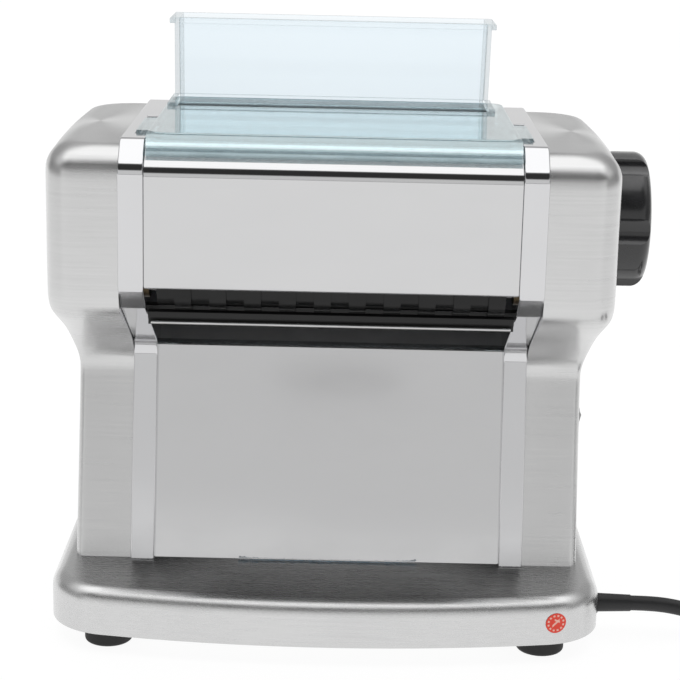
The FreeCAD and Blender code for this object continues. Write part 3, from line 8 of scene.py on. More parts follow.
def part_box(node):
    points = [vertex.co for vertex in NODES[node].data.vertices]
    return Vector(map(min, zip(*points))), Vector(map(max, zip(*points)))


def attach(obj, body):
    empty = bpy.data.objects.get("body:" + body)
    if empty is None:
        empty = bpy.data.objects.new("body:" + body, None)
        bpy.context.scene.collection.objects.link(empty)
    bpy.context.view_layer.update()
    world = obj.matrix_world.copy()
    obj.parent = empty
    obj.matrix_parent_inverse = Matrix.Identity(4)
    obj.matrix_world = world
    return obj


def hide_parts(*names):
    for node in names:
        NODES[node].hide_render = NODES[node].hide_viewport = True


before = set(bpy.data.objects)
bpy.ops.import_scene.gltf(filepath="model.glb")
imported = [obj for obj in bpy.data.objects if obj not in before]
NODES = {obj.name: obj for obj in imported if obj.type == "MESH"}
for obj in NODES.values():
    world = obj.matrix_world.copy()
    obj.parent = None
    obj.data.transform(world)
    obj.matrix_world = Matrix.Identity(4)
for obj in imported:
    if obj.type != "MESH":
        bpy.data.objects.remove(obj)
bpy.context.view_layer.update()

# The electric pasta maker: polished side frames and plates, brushed shells and base, a clear
# guard and hopper, a black knob and the mains lead. Lengths are in metres, in the part's frame.

BASE_LOW, BASE_HIGH = (Vector(corner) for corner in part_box("base_pan"))
MIDDLE_X = (BASE_LOW.x + BASE_HIGH.x) / 2


# Shader maths, with the numbers of the Mix node's sockets for colours

FACTOR, COLOUR_A, COLOUR_B, MIXED_COLOUR = 0, 6, 7, 2


class Level:
    """A shader socket that takes part in arithmetic; each operation adds its Math node."""

    def __init__(self, surface, socket):
        self.surface = surface
        self.socket = socket

    def math(self, operation, *others):
        sockets = dict(enumerate((self, *others)))
        return self.surface.node("ShaderNodeMath", {"operation": operation}, sockets)

    def __add__(self, other):
        return self.math("ADD", other)

    def __radd__(self, other):
        return self.math("ADD", other)

    def __sub__(self, other):
        return self.math("SUBTRACT", other)

    def __rsub__(self, other):
        return self.math("MULTIPLY", -1.0).math("ADD", other)

    def __mul__(self, other):
        return self.math("MULTIPLY", other)

    def __rmul__(self, other):
        return self.math("MULTIPLY", other)

    def __truediv__(self, other):
        return self.math("DIVIDE", other)

    def __abs__(self):
        return self.math("ABSOLUTE")

    def power(self, exponent):
        return self.math("POWER", exponent)

    def at_most(self, limit):
        return self.math("MINIMUM", limit)

    def between(self, low, high):
        """Nought below low, one above high, and smooth from one to the other."""
        return self.surface.node("ShaderNodeMapRange", {"interpolation_type": "SMOOTHSTEP"},
                                 {"Value": self, "From Min": low, "From Max": high})


class Surface:
    """The node tree of a material or of the world, under construction."""

    def __init__(self, owner):
        owner.use_nodes = True
        self.owner = owner
        self.tree = owner.node_tree
        self.tree.nodes.clear()

    def node(self, kind, settings=None, sockets=None, output=0):
        """Adds a node, sets it up, fills its sockets by name or number, and gives one output."""
        node = self.tree.nodes.new(kind)
        for name, value in (settings or {}).items():
            setattr(node, name, value)
        for name, value in (sockets or {}).items():
            if isinstance(value, Level):
                self.tree.links.new(value.socket, node.inputs[name])
            else:
                node.inputs[name].default_value = value
        return Level(self, node.outputs[output]) if node.outputs else None

    def place(self):
        """The position on the object at rest, in metres."""
        return self.node("ShaderNodeTexCoord", output="Object")

    def normal(self):
        """The direction that the surface faces."""
        return self.node("ShaderNodeNewGeometry", output="Normal")

    def split(self, vector):
        """A vector's three parts."""
        parts = self.node("ShaderNodeSeparateXYZ", sockets={0: vector}).socket.node.outputs
        return [Level(self, part) for part in parts]

    def noise(self, scale, detail=3.0, roughness=0.55, stretch=(1.0, 1.0, 1.0)):
        """Noise over the object, stretched along its axes."""
        place = self.node("ShaderNodeVectorMath", {"operation": "MULTIPLY"},
                          {0: self.place(), 1: stretch})
        return self.node("ShaderNodeTexNoise", output="Fac", sockets={
            "Vector": place, "Scale": scale, "Detail": detail, "Roughness": roughness})

    def tint(self, amount, first, second):
        """A mix of two colours, each plain or a level."""
        first, second = (colour if isinstance(colour, Level) else (*colour, 1.0)
                         for colour in (first, second))
        return self.node("ShaderNodeMix", {"data_type": "RGBA"},
                         {FACTOR: amount, COLOUR_A: first, COLOUR_B: second}, MIXED_COLOUR)

    def bump(self, height, strength, distance):
        """A normal that follows a height."""
        return self.node("ShaderNodeBump", sockets={
            "Height": height, "Strength": strength, "Distance": distance})

    def principled(self, sockets):
        return self.node("ShaderNodeBsdfPrincipled", sockets=sockets)

    def mix(self, amount, first, second):
        """A mix of two shaders."""
        return self.node("ShaderNodeMixShader", sockets={0: amount, 1: first, 2: second})

    def finish(self, shader):
        """Ends the material in a shader, or in the sockets of a principled one."""
        if isinstance(shader, dict):
            shader = self.principled(shader)
        self.node("ShaderNodeOutputMaterial", sockets={"Surface": shader})
        return self.owner


def surface_of(name):
    """The surface of a new material."""
    return Surface(bpy.data.materials.new(name))


def darker(colour, share):
    """A colour times a share."""
    return tuple(channel * share for channel in colour)


# Finishes

def brushed(name, colour, roughness, stretch):
    """Brushed sheet steel: fine streaks, faint smears, and reflections drawn out across the streaks."""
    surface = surface_of(name)
    streaks = surface.noise(900.0, 2.0, 0.5, stretch)
    smears = surface.noise(14.0, 4.0, 0.6)
    return surface.finish({
        "Base Color": surface.tint(smears * 0.35 + streaks * 0.30, colour, darker(colour, 0.84)),
        "Metallic": 1.0,
        "Anisotropic": 0.85,
        "Anisotropic Rotation": 0.25,
        "Roughness": streaks * 0.10 + smears * 0.06 + (roughness - 0.08),
        "Normal": surface.bump(streaks, 0.10, 0.00008),
    })


def polished(name, colour, roughness):
    """Polished sheet: almost a mirror, with slight waves and a few wiped smears."""
    surface = surface_of(name)
    smears = surface.noise(22.0, 4.0, 0.62, (1.0, 1.0, 2.2))
    waves = surface.noise(9.0, 1.0, 0.4)
    return surface.finish({
        "Base Color": surface.tint(smears * 0.4, colour, darker(colour, 0.90)),
        "Metallic": 1.0,
        "Roughness": smears * 0.07 + roughness,
        "Normal": surface.bump(waves, 0.04, 0.0006),
    })


def machined(name, colour, roughness):
    """Turned or ground metal with fine marks round it and a film of oil."""
    surface = surface_of(name)
    marks = surface.noise(700.0, 2.0, 0.5, (1.0, 0.12, 0.12))
    oil = surface.noise(40.0, 3.0)
    return surface.finish({
        "Base Color": surface.tint(oil, colour, darker(colour, 0.72)),
        "Metallic": 1.0,
        "Roughness": marks * 0.14 + roughness,
        "Normal": surface.bump(marks, 0.12, 0.0001),
    })


def moulded(name, colour, roughness, grain=0.15, coat=0.0, dust=0.0):
    """Moulded plastic or rubber with a fine grain, and dust on what faces up."""
    surface = surface_of(name)
    fine = surface.noise(1400.0, 2.0)
    patches = surface.noise(60.0, 4.0, 0.7)
    worn = tuple(min(1.0, channel * 1.35 + 0.004) for channel in colour)
    shade = surface.tint(patches * 0.5, colour, worn)
    if dust:
        up = surface.split(surface.normal())[2]
        shade = surface.tint(up.between(0.2, 0.95) * patches * dust, shade, (0.30, 0.30, 0.31))
    return surface.finish({
        "Base Color": shade,
        "Roughness": patches * 0.12 + roughness,
        "Coat Weight": coat,
        "Normal": surface.bump(fine, grain, 0.00006),
    })


def clear_plastic(name, tint, along, veil):
    """Clear acrylic that is pale blue through its faces, with deep teal painted along its edges.

    The tint is what one face lets through. Walls that face sideways or along the given axis are
    seen edge on from the front, so they are painted teal: painted shade standing in for light seen
    through the plastic edge on. The veil is how much the scuffed faces shine.
    """
    surface = surface_of(name)
    scuffs = surface.noise(70.0, 4.0, 0.7)
    through = surface.node("ShaderNodeBsdfTransparent", sockets={"Color": (*tint, 1.0)})
    shine = surface.principled({
        "Base Color": (0.86, 0.96, 0.98, 1.0),
        "Metallic": 1.0,
        "Roughness": scuffs * 0.06 + 0.02,
    })
    # Painted shade: the dark teal of plastic seen edge on, given as a colour.
    edge = surface.principled({
        "Base Color": (0.015, 0.16, 0.22, 1.0),
        "Roughness": 0.08,
        "Alpha": 0.62,
    })
    gloss = surface.node("ShaderNodeFresnel", sockets={"IOR": 1.45})
    normal = surface.split(surface.normal())
    bands = surface.noise(60.0, 2.0, 0.5, (1.0, 0.2, 0.2))
    # Painted shade mask: teal by which way a wall faces, streaked on the walls along the axis.
    teal = (abs(normal[0]).between(0.80, 0.97) * 0.85
            + abs(normal[along]).between(0.85, 0.99) * (bands * 0.35 + 0.12))
    clear = surface.mix((gloss + veil).at_most(0.8), through, shine)
    return surface.finish(surface.mix(teal.at_most(1.0), clear, edge))


def crumpled_film():
    """Pale blue film that lets more through where it is stretched thin."""
    surface = surface_of("protective_film")
    creases = surface.noise(260.0, 4.0, 0.7)
    return surface.finish({
        "Base Color": surface.tint(creases.between(0.35, 0.65), (0.26, 0.50, 0.70), (0.66, 0.80, 0.90)),
        "Alpha": creases.between(0.30, 0.55) * 0.35 + 0.40,
        "Roughness": 0.25,
    })


def ticked_sticker(middle, radius):
    """Red print with a ring of pale dots and a tick, about a middle in X and Z."""
    surface = surface_of("sticker_red")
    x, y, z = surface.split(surface.place())
    across = (x - middle[0]) / radius
    up = (z - middle[1]) / radius
    reach = (across * across + up * up).power(0.5)
    beat = abs((up.math("ARCTAN2", across) * (STICKER_DOTS / (2 * math.pi))).math("FRACT") - 0.5)
    dots = (1.0 - beat.between(0.20, 0.30)) * (1.0 - abs(reach - 0.74).between(0.06, 0.12))
    long_stroke = ((1.0 - abs(up - across * 0.9 - 0.02).between(0.08, 0.16))
                   * (1.0 - abs(across).between(0.30, 0.38)))
    short_stroke = ((1.0 - abs(up + across * 0.5 - 0.28).between(0.06, 0.13))
                    * (1.0 - abs(across - 0.12).between(0.22, 0.30)))
    pale = (dots + long_stroke + short_stroke).at_most(1.0)
    return surface.finish({
        "Base Color": surface.tint(pale * 0.8, (0.80, 0.045, 0.018), (0.92, 0.62, 0.52)),
        "Roughness": 0.35,
    })


def white_cloth():
    """The studio's floor, which glows so that it stays pale under the machine."""
    surface = surface_of("floor_white")
    return surface.finish({
        "Base Color": (0.12, 0.12, 0.12, 1.0),
        "Roughness": surface.noise(3.0, 2.0) * 0.1 + 0.9,
        "Specular IOR Level": 0.0,
        "Emission Color": (1.0, 1.0, 1.0, 1.0),
        "Emission Strength": 0.93,
    })


BRUSHED_ACROSS = brushed("brushed_across", (0.70, 0.70, 0.70), 0.27, (0.02, 1.0, 1.0))
BRUSHED_SHELL = brushed("brushed_shell", (0.68, 0.68, 0.68), 0.25, (0.02, 0.02, 1.0))
POLISHED_PLATE = polished("polished_plate", (0.63, 0.63, 0.635), 0.04)
POLISHED_FRAME = polished("polished_frame", (0.66, 0.66, 0.67), 0.05)
PLAIN_STEEL = machined("plain_steel", (0.50, 0.50, 0.51), 0.28)
# Painted shade: the cutters' steel is made nearly black so that they stay dark in the opening under the
# upper plate.
CUTTER_PAINTED_SHADE = machined("cutter_painted_shade", (0.035, 0.035, 0.035), 0.14)
ROLLER_STEEL = machined("roller_steel", (0.62, 0.62, 0.62), 0.16)
GEAR_STEEL = machined("gear_steel", (0.42, 0.41, 0.39), 0.30)
# Painted shade: the roller blocks and bushes are bronze made very dark, so that they stay dark between
# the frames.
BUSH_PAINTED_SHADE_BRONZE = machined("bush_painted_shade_bronze", (0.10, 0.075, 0.045), 0.30)
CAN_ALUMINIUM = machined("can_aluminium", (0.70, 0.70, 0.71), 0.22)
PIN_METAL = machined("pin_metal", (0.72, 0.64, 0.45), 0.20)
MOTOR_PAINT = moulded("motor_paint", (0.05, 0.055, 0.06), 0.42)
KNOB_BLACK = moulded("knob_black", (0.006, 0.006, 0.007), 0.20, 0.05, 0.5, 0.35)
SWITCH_GREY = moulded("switch_grey", (0.42, 0.42, 0.42), 0.38)
FOOT_RUBBER = moulded("foot_rubber", (0.010, 0.010, 0.010), 0.62, 0.4)
LEAD_BLACK = moulded("lead_black", (0.010, 0.010, 0.011), 0.46, 0.2)
# Black plastic scrapers, whose black also stands in for the shade inside the opening under the cutters:
# partly painted shade.
SCRAPER_PAINTED_SHADE_BLACK = moulded("scraper_painted_shade_black", (0.008, 0.008, 0.008), 0.55)
HOPPER_CLEAR = clear_plastic("hopper_clear", (0.945, 0.965, 0.978), 2, 0.0)
GUARD_CLEAR = clear_plastic("guard_clear", (0.93, 0.975, 0.985), 1, 0.26)

WEARS = {
    BRUSHED_ACROSS: ["base_pan", "rear_panel"],
    BRUSHED_SHELL: ["left_shell", "right_shell"],
    POLISHED_PLATE: ["upper_front_plate", "lower_front_panel"],
    POLISHED_FRAME: ["left_side_frame", "right_side_frame"],
    PLAIN_STEEL: ["base_plate", "foot_screws", "dough_chute", "tie_rods", "idler_pin",
                  "reducer_pin", "motor_shaft", "knob_spindle", "spindle_bracket"],
    SCRAPER_PAINTED_SHADE_BLACK: ["rear_comb", "front_comb"],
    ROLLER_STEEL: ["rear_roller", "front_roller"],
    CUTTER_PAINTED_SHADE: ["rear_cutter", "front_cutter"],
    GEAR_STEEL: ["rear_roller_gear", "front_roller_gear", "drive_gear", "idler_gear",
                 "rear_cutter_gear", "front_cutter_gear", "reducer_small_gear",
                 "reducer_big_gear", "reducer_hub", "motor_pinion"],
    BUSH_PAINTED_SHADE_BRONZE: ["left_roller_block", "right_roller_block", "left_roller_bush", "right_roller_bush",
                  "left_rear_cutter_bush", "right_rear_cutter_bush", "left_front_cutter_bush",
                  "right_front_cutter_bush"],
    CAN_ALUMINIUM: ["capacitor"],
    PIN_METAL: ["plug_pins"],
    MOTOR_PAINT: ["motor_can", "motor_cradle"],
    KNOB_BLACK: ["thickness_knob"],
    SWITCH_GREY: ["switch_frame", "switch_rocker"],
    FOOT_RUBBER: ["foot_front_left", "foot_front_right", "foot_back_left", "foot_back_right"],
    LEAD_BLACK: ["cord_gland", "plug_body"],
    HOPPER_CLEAR: ["hopper"],
    GUARD_CLEAR: ["guard"],
}


def dress_nodes():
    """Gives every CAD node its finish."""
    for material, names in WEARS.items():
        for name in names:
            slots = NODES[name].data.materials
            if len(slots) == 0:
                slots.append(material)
            for i in range(len(slots)):
                slots[i] = material


# Pieces

def mesh_piece(name, vertices, faces, material, body="machine"):
    """A smooth piece from its corners and faces, riding on a body."""
    mesh = bpy.data.meshes.new(name)
    mesh.from_pydata(vertices, [], faces)
    mesh.update()
    piece = bpy.data.objects.new(name, mesh)
    bpy.context.scene.collection.objects.link(piece)
    mesh.materials.append(material)
    mesh.shade_smooth()
    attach(piece, body)
    return piece


def extrusion(name, profile, half, material, body="machine", smooth=35):
    """A piece with one outline in the side view, of a given half width."""
    count = len(profile)
    vertices = [(x + MIDDLE_X, y, z) for x in (-half, half) for y, z in profile]
    faces = [(i, (i + 1) % count, count + (i + 1) % count, count + i) for i in range(count)]
    faces += [tuple(range(count))[::-1], tuple(range(count, 2 * count))]
    piece = mesh_piece(name, vertices, faces, material, body)
    piece.data.set_sharp_from_angle(angle=math.radians(smooth))
    return piece


# Rounded copies of the folded sheets

SAME_POINT = 1e-6
SAME_EDGE = 0.0006
FLAT_ANGLE = math.radians(0.6)
SHARP_ANGLE = math.radians(30)
BEND_STEPS, FINE_STEPS = 8, 2


def dressed(node, body, rounded, small, move=None):
    """A copy of a node whose sharp edges are rounded.

    Edges along X that pass near a listed (y, z) get the radius given with it, and every other
    sharp edge gets a small one. A function may move the corners first.
    """
    mesh = NODES[node].data.copy()
    work = bmesh.new()
    work.from_mesh(mesh)
    bmesh.ops.remove_doubles(work, verts=work.verts, dist=SAME_POINT)
    bmesh.ops.dissolve_limit(work, angle_limit=FLAT_ANGLE, verts=work.verts, edges=work.edges)
    weights = work.edges.layers.float.new("bevel_weight_edge")
    widest = max([radius for y, z, radius in rounded], default=0.0)
    for edge in work.edges:
        first, second = (vertex.co for vertex in edge.verts)
        along_x = (second - first).cross(Vector((1, 0, 0))).length < 10 * SAME_POINT
        for y, z, radius in rounded:
            if along_x and math.hypot(first.y - y, first.z - z) < SAME_EDGE:
                edge[weights] = radius / widest
    if move:
        for vertex in work.verts:
            vertex.co = move(vertex.co)
    work.to_mesh(mesh)
    work.free()
    piece = bpy.data.objects.new(node + "_dressed", mesh)
    bpy.context.scene.collection.objects.link(piece)
    if rounded:
        large = piece.modifiers.new("large", "BEVEL")
        large.limit_method = "WEIGHT"
        large.width = widest
        large.segments = BEND_STEPS
    fine = piece.modifiers.new("fine", "BEVEL")
    fine.limit_method = "ANGLE"
    fine.angle_limit = SHARP_ANGLE
    fine.width = small
    fine.segments = FINE_STEPS
    level = piece.modifiers.new("level", "WEIGHTED_NORMAL")
    level.weight = 100
    level.keep_sharp = False
    mesh.shade_smooth()
    bpy.context.view_layer.update()
    shaped = bpy.data.meshes.new_from_object(piece.evaluated_get(bpy.context.evaluated_depsgraph_get()))
    piece.modifiers.clear()
    piece.data = shaped
    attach(piece, body)
    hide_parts(node)


FRAME_BENDS = ((-0.108, 0.265, 0.0040), (-0.095, 0.278, 0.0028), (-0.108, 0.202, 0.0024))
PLATE_BENDS = ((-0.1065, 0.2635, 0.0036), (-0.0935, 0.2765, 0.0020))
HOPPER_WIDER = 1.02
HOPPER_LEFT = 0.0028


def widened(place):
    """A point of the hopper as the photograph shows it, a little wider and to the left."""
    return Vector((MIDDLE_X + (place.x - MIDDLE_X) * HOPPER_WIDER - HOPPER_LEFT, place.y, place.z))


def dress_sheets():
    """The side frames and the upper front plate with soft bends along their bevels, and the hopper."""
    for side in ("left", "right"):
        dressed(side + "_side_frame", "machine", FRAME_BENDS, 0.0009)
    dressed("upper_front_plate", "machine", PLATE_BENDS, 0.0004)
    dressed("hopper", "hopper", (), 0.0004, widened)


# Shells

SHELL_FRONT = (
    (0.0360, -0.0525), (0.1320, -0.0300), (0.1430, -0.0275), (0.1530, -0.0330), (0.1650, -0.0500),
    (0.1770, -0.0780), (0.1850, -0.0960), (0.1920, -0.1032), (0.1980, -0.1045), (0.2745, -0.1045),
)
SHELL_OUT = (
    (0.0360, 0.1400), (0.1380, 0.1398), (0.1440, 0.1404), (0.1560, 0.1432), (0.1690, 0.1455),
    (0.1820, 0.1474), (0.2000, 0.1478), (0.2745, 0.1478),
)
SHELL_LOW, SHELL_TOP = 0.0360, 0.2745
SHELL_BACK = 0.0825
FRAME_OUT = 0.1090
CROWN, FRONT_ROUND, BACK_ROUND = 0.013, 0.017, 0.020
LEG_FRONT_ROUND, LEG_BACK_ROUND = 0.005, 0.006
WAIST_LOW, WAIST_HIGH = 0.150, 0.185
SIDE_BULGE = 0.0015
STRAIGHT_STEPS, CROWN_STEPS, ROUND_STEPS, FACE_STEPS = 70, 14, 12, 6


def eased(table, count=3):
    """A line of points with its corners cut a few times, for reading a smooth value off it."""
    points = list(table)
    for cut_number in range(count):
        cut = [points[0]]
        for first, second in zip(points, points[1:]):
            cut.append(tuple(0.75 * a + 0.25 * b for a, b in zip(first, second)))
            cut.append(tuple(0.25 * a + 0.75 * b for a, b in zip(first, second)))
        points = cut + [points[-1]]
    return points


def read_off(points, at):
    """The value of a line of points at a height."""
    for first, second in zip(points, points[1:]):
        if at <= second[0]:
            share = (at - first[0]) / max(second[0] - first[0], 1e-9)
            return first[1] + (second[1] - first[1]) * max(0.0, share)
    return points[-1][1]


def drawn_in(z, radius):
    """How far a face is drawn in at a height by the rounding under the top."""
    rise = max(0.0, z - (SHELL_TOP - radius))
    return radius - math.sqrt(max(0.0, radius ** 2 - rise ** 2))


def shell_ring(z, fronts, outs):
    """The shell's outline at a height, from the frame round the front, side and back."""
    head = min(1.0, max(0.0, (z - WAIST_LOW) / (WAIST_HIGH - WAIST_LOW)))
    head = head * head * (3 - 2 * head)
    near = LEG_FRONT_ROUND + (FRONT_ROUND - LEG_FRONT_ROUND) * head
    far = LEG_BACK_ROUND + (BACK_ROUND - LEG_BACK_ROUND) * head
    front = read_off(fronts, z) + drawn_in(z, FRONT_ROUND)
    back = SHELL_BACK - drawn_in(z, BACK_ROUND)
    out = read_off(outs, z) - drawn_in(z, CROWN)
    quarter = [math.radians(90 * i / ROUND_STEPS) for i in range(ROUND_STEPS + 1)]
    side_long = back - far - front - near
    ring = [(FRAME_OUT + (out - near - FRAME_OUT) * i / FACE_STEPS, front) for i in range(FACE_STEPS)]
    ring += [(out - near + near * math.sin(turn), front + near - near * math.cos(turn))
             for turn in quarter]
    ring += [(out + SIDE_BULGE * math.sin(math.pi * i / ROUND_STEPS),
              front + near + side_long * i / ROUND_STEPS) for i in range(1, ROUND_STEPS)]
    ring += [(out - far + far * math.cos(turn), back - far + far * math.sin(turn))
             for turn in quarter]
    ring += [(out - far - (out - far - FRAME_OUT) * i / FACE_STEPS, back)
             for i in range(1, FACE_STEPS + 1)]
    return ring


def make_shell(side, node):
    """A pressed shell: a rounded head over a narrower leg, in one smooth sheet.

    The side is -1 on the left and 1 on the right, and also turns the faces' corners round.
    """
    fronts, outs = eased(SHELL_FRONT), eased(SHELL_OUT)
    bend = SHELL_TOP - FRONT_ROUND
    heights = [SHELL_LOW + (bend - SHELL_LOW) * i / STRAIGHT_STEPS for i in range(STRAIGHT_STEPS + 1)]
    heights += [bend + FRONT_ROUND * math.sin(math.radians(90 * i / CROWN_STEPS))
                for i in range(1, CROWN_STEPS + 1)]
    rings = [shell_ring(z, fronts, outs) for z in heights]
    count = len(rings[0])
    vertices = [(side * x + MIDDLE_X, y, z) for z, ring in zip(heights, rings) for x, y in ring]
    faces = []
    for low in range(0, count * (len(rings) - 1), count):
        for i in range(count):
            j = (i + 1) % count
            faces.append((low + i, low + j, low + count + j, low + count + i)[::side])
    faces.append(tuple(range(len(vertices) - count, len(vertices)))[::side])
    piece = mesh_piece(node + "_dressed", vertices, faces, BRUSHED_SHELL)
    piece.data.set_sharp_from_angle(angle=math.radians(40))
    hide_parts(node)


# Guard's lip and front scraper

BETWEEN_FRAMES = 0.0955
LIP_PROFILE = (
    (-0.0900, 0.2810), (-0.0940, 0.2802), (-0.0985, 0.2778), (-0.1012, 0.2748), (-0.1022, 0.2722),
    (-0.1024, 0.2703), (-0.1004, 0.2703), (-0.1002, 0.2722), (-0.0992, 0.2742), (-0.0970, 0.2763),
    (-0.0935, 0.2780), (-0.0900, 0.2788),
)
SCRAPER_PROFILE = (
    (-0.0812, 0.1792), (-0.0868, 0.1792), (-0.0868, 0.1815), (-0.0888, 0.1835),
    (-0.0888, 0.1862), (-0.0880, 0.1867), (-0.0840, 0.1867), (-0.0812, 0.1820),
)
SCRAPER_EDGE = (-0.0880, 0.1806)
SCRAPER_EDGE_RADIUS = 0.0010
SCRAPER_EDGE_HALF = 0.0940


def make_guard_lip():
    """The guard's front edge, which turns down over the plates' bevel."""
    lip = extrusion("guard_front_lip", LIP_PROFILE, BETWEEN_FRAMES, GUARD_CLEAR, "guard")


def make_front_scraper():
    """The front scraper as it shows under the cutters: a black bar, its black partly painted shade,
    with a bright rolled edge.
    """
    bar = extrusion("front_scraper_bar", SCRAPER_PROFILE, BETWEEN_FRAMES, SCRAPER_PAINTED_SHADE_BLACK)
    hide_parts("front_comb")
    ring = [(SCRAPER_EDGE[0] + SCRAPER_EDGE_RADIUS * math.cos(math.radians(30 * i)),
             SCRAPER_EDGE[1] + SCRAPER_EDGE_RADIUS * math.sin(math.radians(30 * i)))
            for i in range(12)]
    extrusion("front_scraper_edge", ring, SCRAPER_EDGE_HALF, ROLLER_STEEL, smooth=60)


# Film remnant and sticker

FILM_LEFT, FILM_RIGHT = -0.0490, 0.0500
FILM_DEPTHS = (-0.0528, -0.0546, -0.0556)
FILM_LOW, FILM_LIFT = 0.0364, 0.0362
FILM_WAVES = ((0.0004, 2.1), (0.0003, 5.3), (0.0003, 0.7))
FILM_GATHER, FILM_GATHER_RATE = 1.6, 14
FILM_STEPS = 120
STICKER_RADIUS = 0.0056
STICKER_PLACE = (0.1240, 0.0232)
STICKER_DOTS = 12.0
STICKER_THICK = 0.00025
STICKER_STEPS = 40


def make_film():
    """The last strip of the sheet's protective film, left crumpled at the panel's foot.

    It is gathered towards both ends, and its edge waves in and out.
    """
    vertices, faces = [], []
    for i in range(FILM_STEPS + 1):
        share = i / FILM_STEPS
        gathered = 1.0 + FILM_GATHER * (
            math.exp(-share * FILM_GATHER_RATE) + math.exp(-(1 - share) * FILM_GATHER_RATE))
        jag = sum(size * math.sin(i * rate) for size, rate in FILM_WAVES)
        x = MIDDLE_X + FILM_LEFT + (FILM_RIGHT - FILM_LEFT) * share
        vertices += [
            (x, FILM_DEPTHS[0] + jag * 0.6, FILM_LOW),
            (x + jag, FILM_DEPTHS[1] + jag, FILM_LIFT + 0.0004 * gathered),
            (x, FILM_DEPTHS[2] - jag, FILM_LIFT + (0.0005 + jag * 0.3) * gathered),
        ]
    for i in range(FILM_STEPS):
        for row in range(2):
            first = 3 * i + row
            faces.append((first, first + 3, first + 4, first + 1))
    mesh_piece("protective_film", vertices, faces, crumpled_film())


def base_wall(x, z):
    """The depth of the base's front wall, read from the base's mesh."""
    start = Vector((x, BASE_LOW.y - 0.1, z))
    hit, place, normal, index = NODES["base_pan"].ray_cast(start, Vector((0, 1, 0)))
    return place.y


def make_sticker():
    """A plain round inspection sticker that follows the base's bowed wall."""
    x, z = MIDDLE_X + STICKER_PLACE[0], STICKER_PLACE[1]
    vertices, faces = [], []
    for share in (0.0, 0.5, 1.0):
        for i in range(STICKER_STEPS):
            angle = 2 * math.pi * i / STICKER_STEPS
            across = x + STICKER_RADIUS * share * math.cos(angle)
            up = z + STICKER_RADIUS * share * math.sin(angle)
            vertices.append((across, base_wall(across, up) - STICKER_THICK, up))
    for inner in (0, STICKER_STEPS):
        for i in range(STICKER_STEPS):
            j = (i + 1) % STICKER_STEPS
            outer = inner + STICKER_STEPS
            faces.append((inner + i, inner + j, outer + j, outer + i))
    red = ticked_sticker((x, z), STICKER_RADIUS)
    mesh_piece("inspection_sticker", vertices, faces, red)


# Mains lead

LEAD_DIAMETER = 0.0084
LEAD_POINTS = (
    (0.1700, -0.0600, 0.0182), (0.1830, -0.0600, 0.0182), (0.1970, -0.0606, 0.0164),
    (0.2110, -0.0614, 0.0128), (0.2260, -0.0622, 0.0086), (0.2420, -0.0626, 0.0054),
    (0.2600, -0.0628, 0.0044), (0.2770, -0.0626, 0.0043), (0.2900, -0.0640, 0.0043),
    (0.3050, -0.0680, 0.0043), (0.3230, -0.0700, 0.0043), (0.3420, -0.0655, 0.0043),
)
COIL_CENTRE = (0.3184, -0.0164)
COIL_RADII = (0.0544, 0.0460, 0.0376, 0.0418, 0.0502)
COIL_HEIGHTS = (0.0043, 0.0043, 0.0043, 0.0122, 0.0122)
COIL_STEPS = 14
COIL_START = 6
COIL_CHANGE = 0.75


def coil_points():
    """The coil's turns: three rings side by side below, and two on top of them.

    The last quarter of each turn leads over to the next ring.
    """
    points = []
    last = len(COIL_RADII) - 1
    for i in range(COIL_START, len(COIL_RADII) * COIL_STEPS + 1):
        turn = i / COIL_STEPS
        ring = min(int(turn), last)
        following = min(ring + 1, last)
        blend = max(0.0, (turn - ring - COIL_CHANGE) / (1 - COIL_CHANGE))
        blend = blend * blend * (3 - 2 * blend)
        radius = COIL_RADII[ring] + (COIL_RADII[following] - COIL_RADII[ring]) * blend
        height = COIL_HEIGHTS[ring] + (COIL_HEIGHTS[following] - COIL_HEIGHTS[ring]) * blend
        angle = -math.pi / 2 + 2 * math.pi * turn
        points.append((
            COIL_CENTRE[0] + radius * math.cos(angle),
            COIL_CENTRE[1] + radius * math.sin(angle),
            height,
        ))
    return points


def lead_curve(route):
    """A round cord along a route."""
    curve = bpy.data.curves.new("mains_lead", "CURVE")
    curve.dimensions = "3D"
    spline = curve.splines.new("NURBS")
    spline.points.add(len(route) - 1)
    for point, place in zip(spline.points, route):
        point.co = (*place, 1.0)
    spline.order_u = 3
    spline.use_endpoint_u = True
    spline.resolution_u = 8
    curve.bevel_depth = LEAD_DIAMETER / 2
    curve.bevel_resolution = 5
    curve.use_fill_caps = True
    curve.materials.append(LEAD_BLACK)
    return curve


def route_length(lead):
    """The length of a cord's own line."""
    copy = lead.copy()
    copy.data = lead.data.copy()
    copy.data.bevel_depth = 0.0
    line = bpy.data.meshes.new_from_object(copy)
    bpy.data.objects.remove(copy)
    ends = ((line.vertices[i].co for i in edge.vertices) for edge in line.edges)
    return sum((first - second).length for first, second in ends)


def make_lead():
    """The mains lead, from its strain relief over the counter into its coil, with the plug."""
    route = [(x + MIDDLE_X, y, z) for x, y, z in (*LEAD_POINTS, *coil_points())]
    lead = bpy.data.objects.new("mains_lead", lead_curve(route))
    bpy.context.scene.collection.objects.link(lead)
    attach(lead, "machine")
    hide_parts("power_cord", "cord_coil")
    bpy.context.view_layer.update()
    round(route_length(lead), 3)


# Camera

PICTURE = 680
CAMERA_PLACE = (0.005, -1.070, 0.427)
CAMERA_PITCH = 14.5
CAMERA_ROLL = 1.29
CAMERA_FOCUS = 1937.0
SENSOR = 36.0


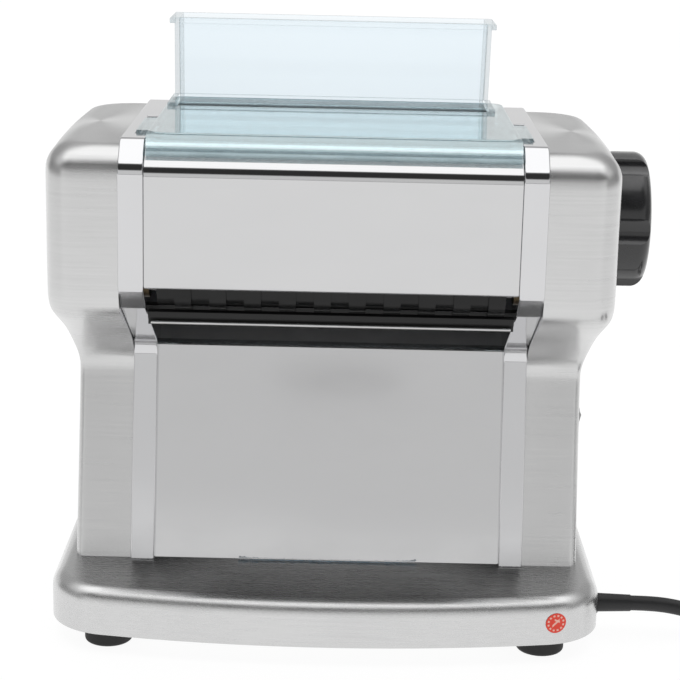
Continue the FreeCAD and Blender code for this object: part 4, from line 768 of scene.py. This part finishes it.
def make_camera():
    """The camera at the photograph's angle, a little above the front."""
    data = bpy.data.cameras.new("camera")
    data.sensor_width = SENSOR
    data.lens = CAMERA_FOCUS / PICTURE * SENSOR
    data.clip_start = 0.01
    camera = bpy.data.objects.new("camera", data)
    bpy.context.scene.collection.objects.link(camera)
    pitch = Matrix.Rotation(math.radians(90 - CAMERA_PITCH), 4, "X")
    roll = Matrix.Rotation(math.radians(CAMERA_ROLL), 4, "Z")
    place = Matrix.Translation((CAMERA_PLACE[0] + MIDDLE_X, CAMERA_PLACE[1], CAMERA_PLACE[2]))
    camera.matrix_world = place @ pitch @ roll
    bpy.context.scene.camera = camera


# Studio. Each pair is where something begins and is whole, as a part of the direction's length

ALL_ROUND = 0.98
CEILING, CEILING_LIGHT = (0.72, 0.84), 0.9
FLAG_AHEAD, FLAG_FOOT, FLAG_TOP, FLAG_DARK = (0.10, 0.40), (0.36, 0.48), (0.82, 0.90), 0.95
BACK_AWAY, BACK_FOOT, BACK_TOP, BACK_DARK = (0.10, 0.50), (0.22, 0.32), (0.60, 0.78), 0.45
WING_ASIDE, WING_TOP, WING_DARK = (0.75, 0.92), (0.45, 0.65), 0.6
FRONT_AHEAD = (0.6, 0.8)
BAND_TOP, BAND_LIGHT = (0.074, 0.078), 0.16
WAVE_ACROSS, WAVE_HIGH = (-0.043, 0.004), 0.0087
SHADE_TOP, SHADE_DARK = (0.040, 0.048), 0.42
MARK_HIGH, MARK_HALF, MARK_EDGE, MARK_DARK = 0.147, (0.034, 0.0022), (0.7, 1.2), 0.8
FLOOR_HALF = 6.0


def make_sky():
    """Soft light from all round by direction: a bright ceiling, and dark flags for the metal.

    One flag stands over the front, one behind, and one on each side. Low in front are a paler
    band with a wavy edge, a darker one under it, and a small dark mark.
    """
    world = bpy.data.worlds.new("studio")
    bpy.context.scene.world = world
    sky = Surface(world)
    x, y, z = sky.split(sky.node("ShaderNodeTexCoord", output="Generated"))
    ahead = y * -1.0
    ceiling = z.between(*CEILING) * CEILING_LIGHT
    flag = ahead.between(*FLAG_AHEAD) * z.between(*FLAG_FOOT) * (1.0 - z.between(*FLAG_TOP))
    back = y.between(*BACK_AWAY) * z.between(*BACK_FOOT) * (1.0 - z.between(*BACK_TOP))
    wings = abs(x).between(*WING_ASIDE) * (1.0 - z.between(*WING_TOP))
    front = ahead.between(*FRONT_AHEAD)
    wave = z + x.between(*WAVE_ACROSS) * WAVE_HIGH
    band = front * (1.0 - wave.between(*BAND_TOP)) * BAND_LIGHT
    shade = front * (1.0 - z.between(*SHADE_TOP)) * SHADE_DARK
    across, up = x / MARK_HALF[0], (z - MARK_HIGH) / MARK_HALF[1]
    mark = front * (1.0 - (across * across + up * up).between(*MARK_EDGE)) * MARK_DARK
    light = (ceiling + ALL_ROUND + band) * (1.0 - flag * FLAG_DARK) * (1.0 - back * BACK_DARK)
    light = light * (1.0 - wings * WING_DARK) * (1.0 - shade) * (1.0 - mark)
    background = sky.node("ShaderNodeBackground", sockets={"Strength": light})
    sky.node("ShaderNodeOutputWorld", sockets={"Surface": background})


def make_floor():
    """A plain white floor."""
    mesh = bpy.data.meshes.new("floor")
    corners = [(-FLOOR_HALF, -FLOOR_HALF, 0), (FLOOR_HALF, -FLOOR_HALF, 0),
               (FLOOR_HALF, FLOOR_HALF, 0), (-FLOOR_HALF, FLOOR_HALF, 0)]
    mesh.from_pydata(corners, [], [(0, 1, 2, 3)])
    mesh.materials.append(white_cloth())
    floor = bpy.data.objects.new("floor", mesh)
    bpy.context.scene.collection.objects.link(floor)


bpy.context.scene.view_settings.view_transform = "Standard"
dress_nodes()
dress_sheets()
make_shell(-1, "left_shell")
make_shell(1, "right_shell")
make_guard_lip()
make_front_scraper()
make_film()
make_sticker()
make_lead()
make_camera()
make_sky()
make_floor()
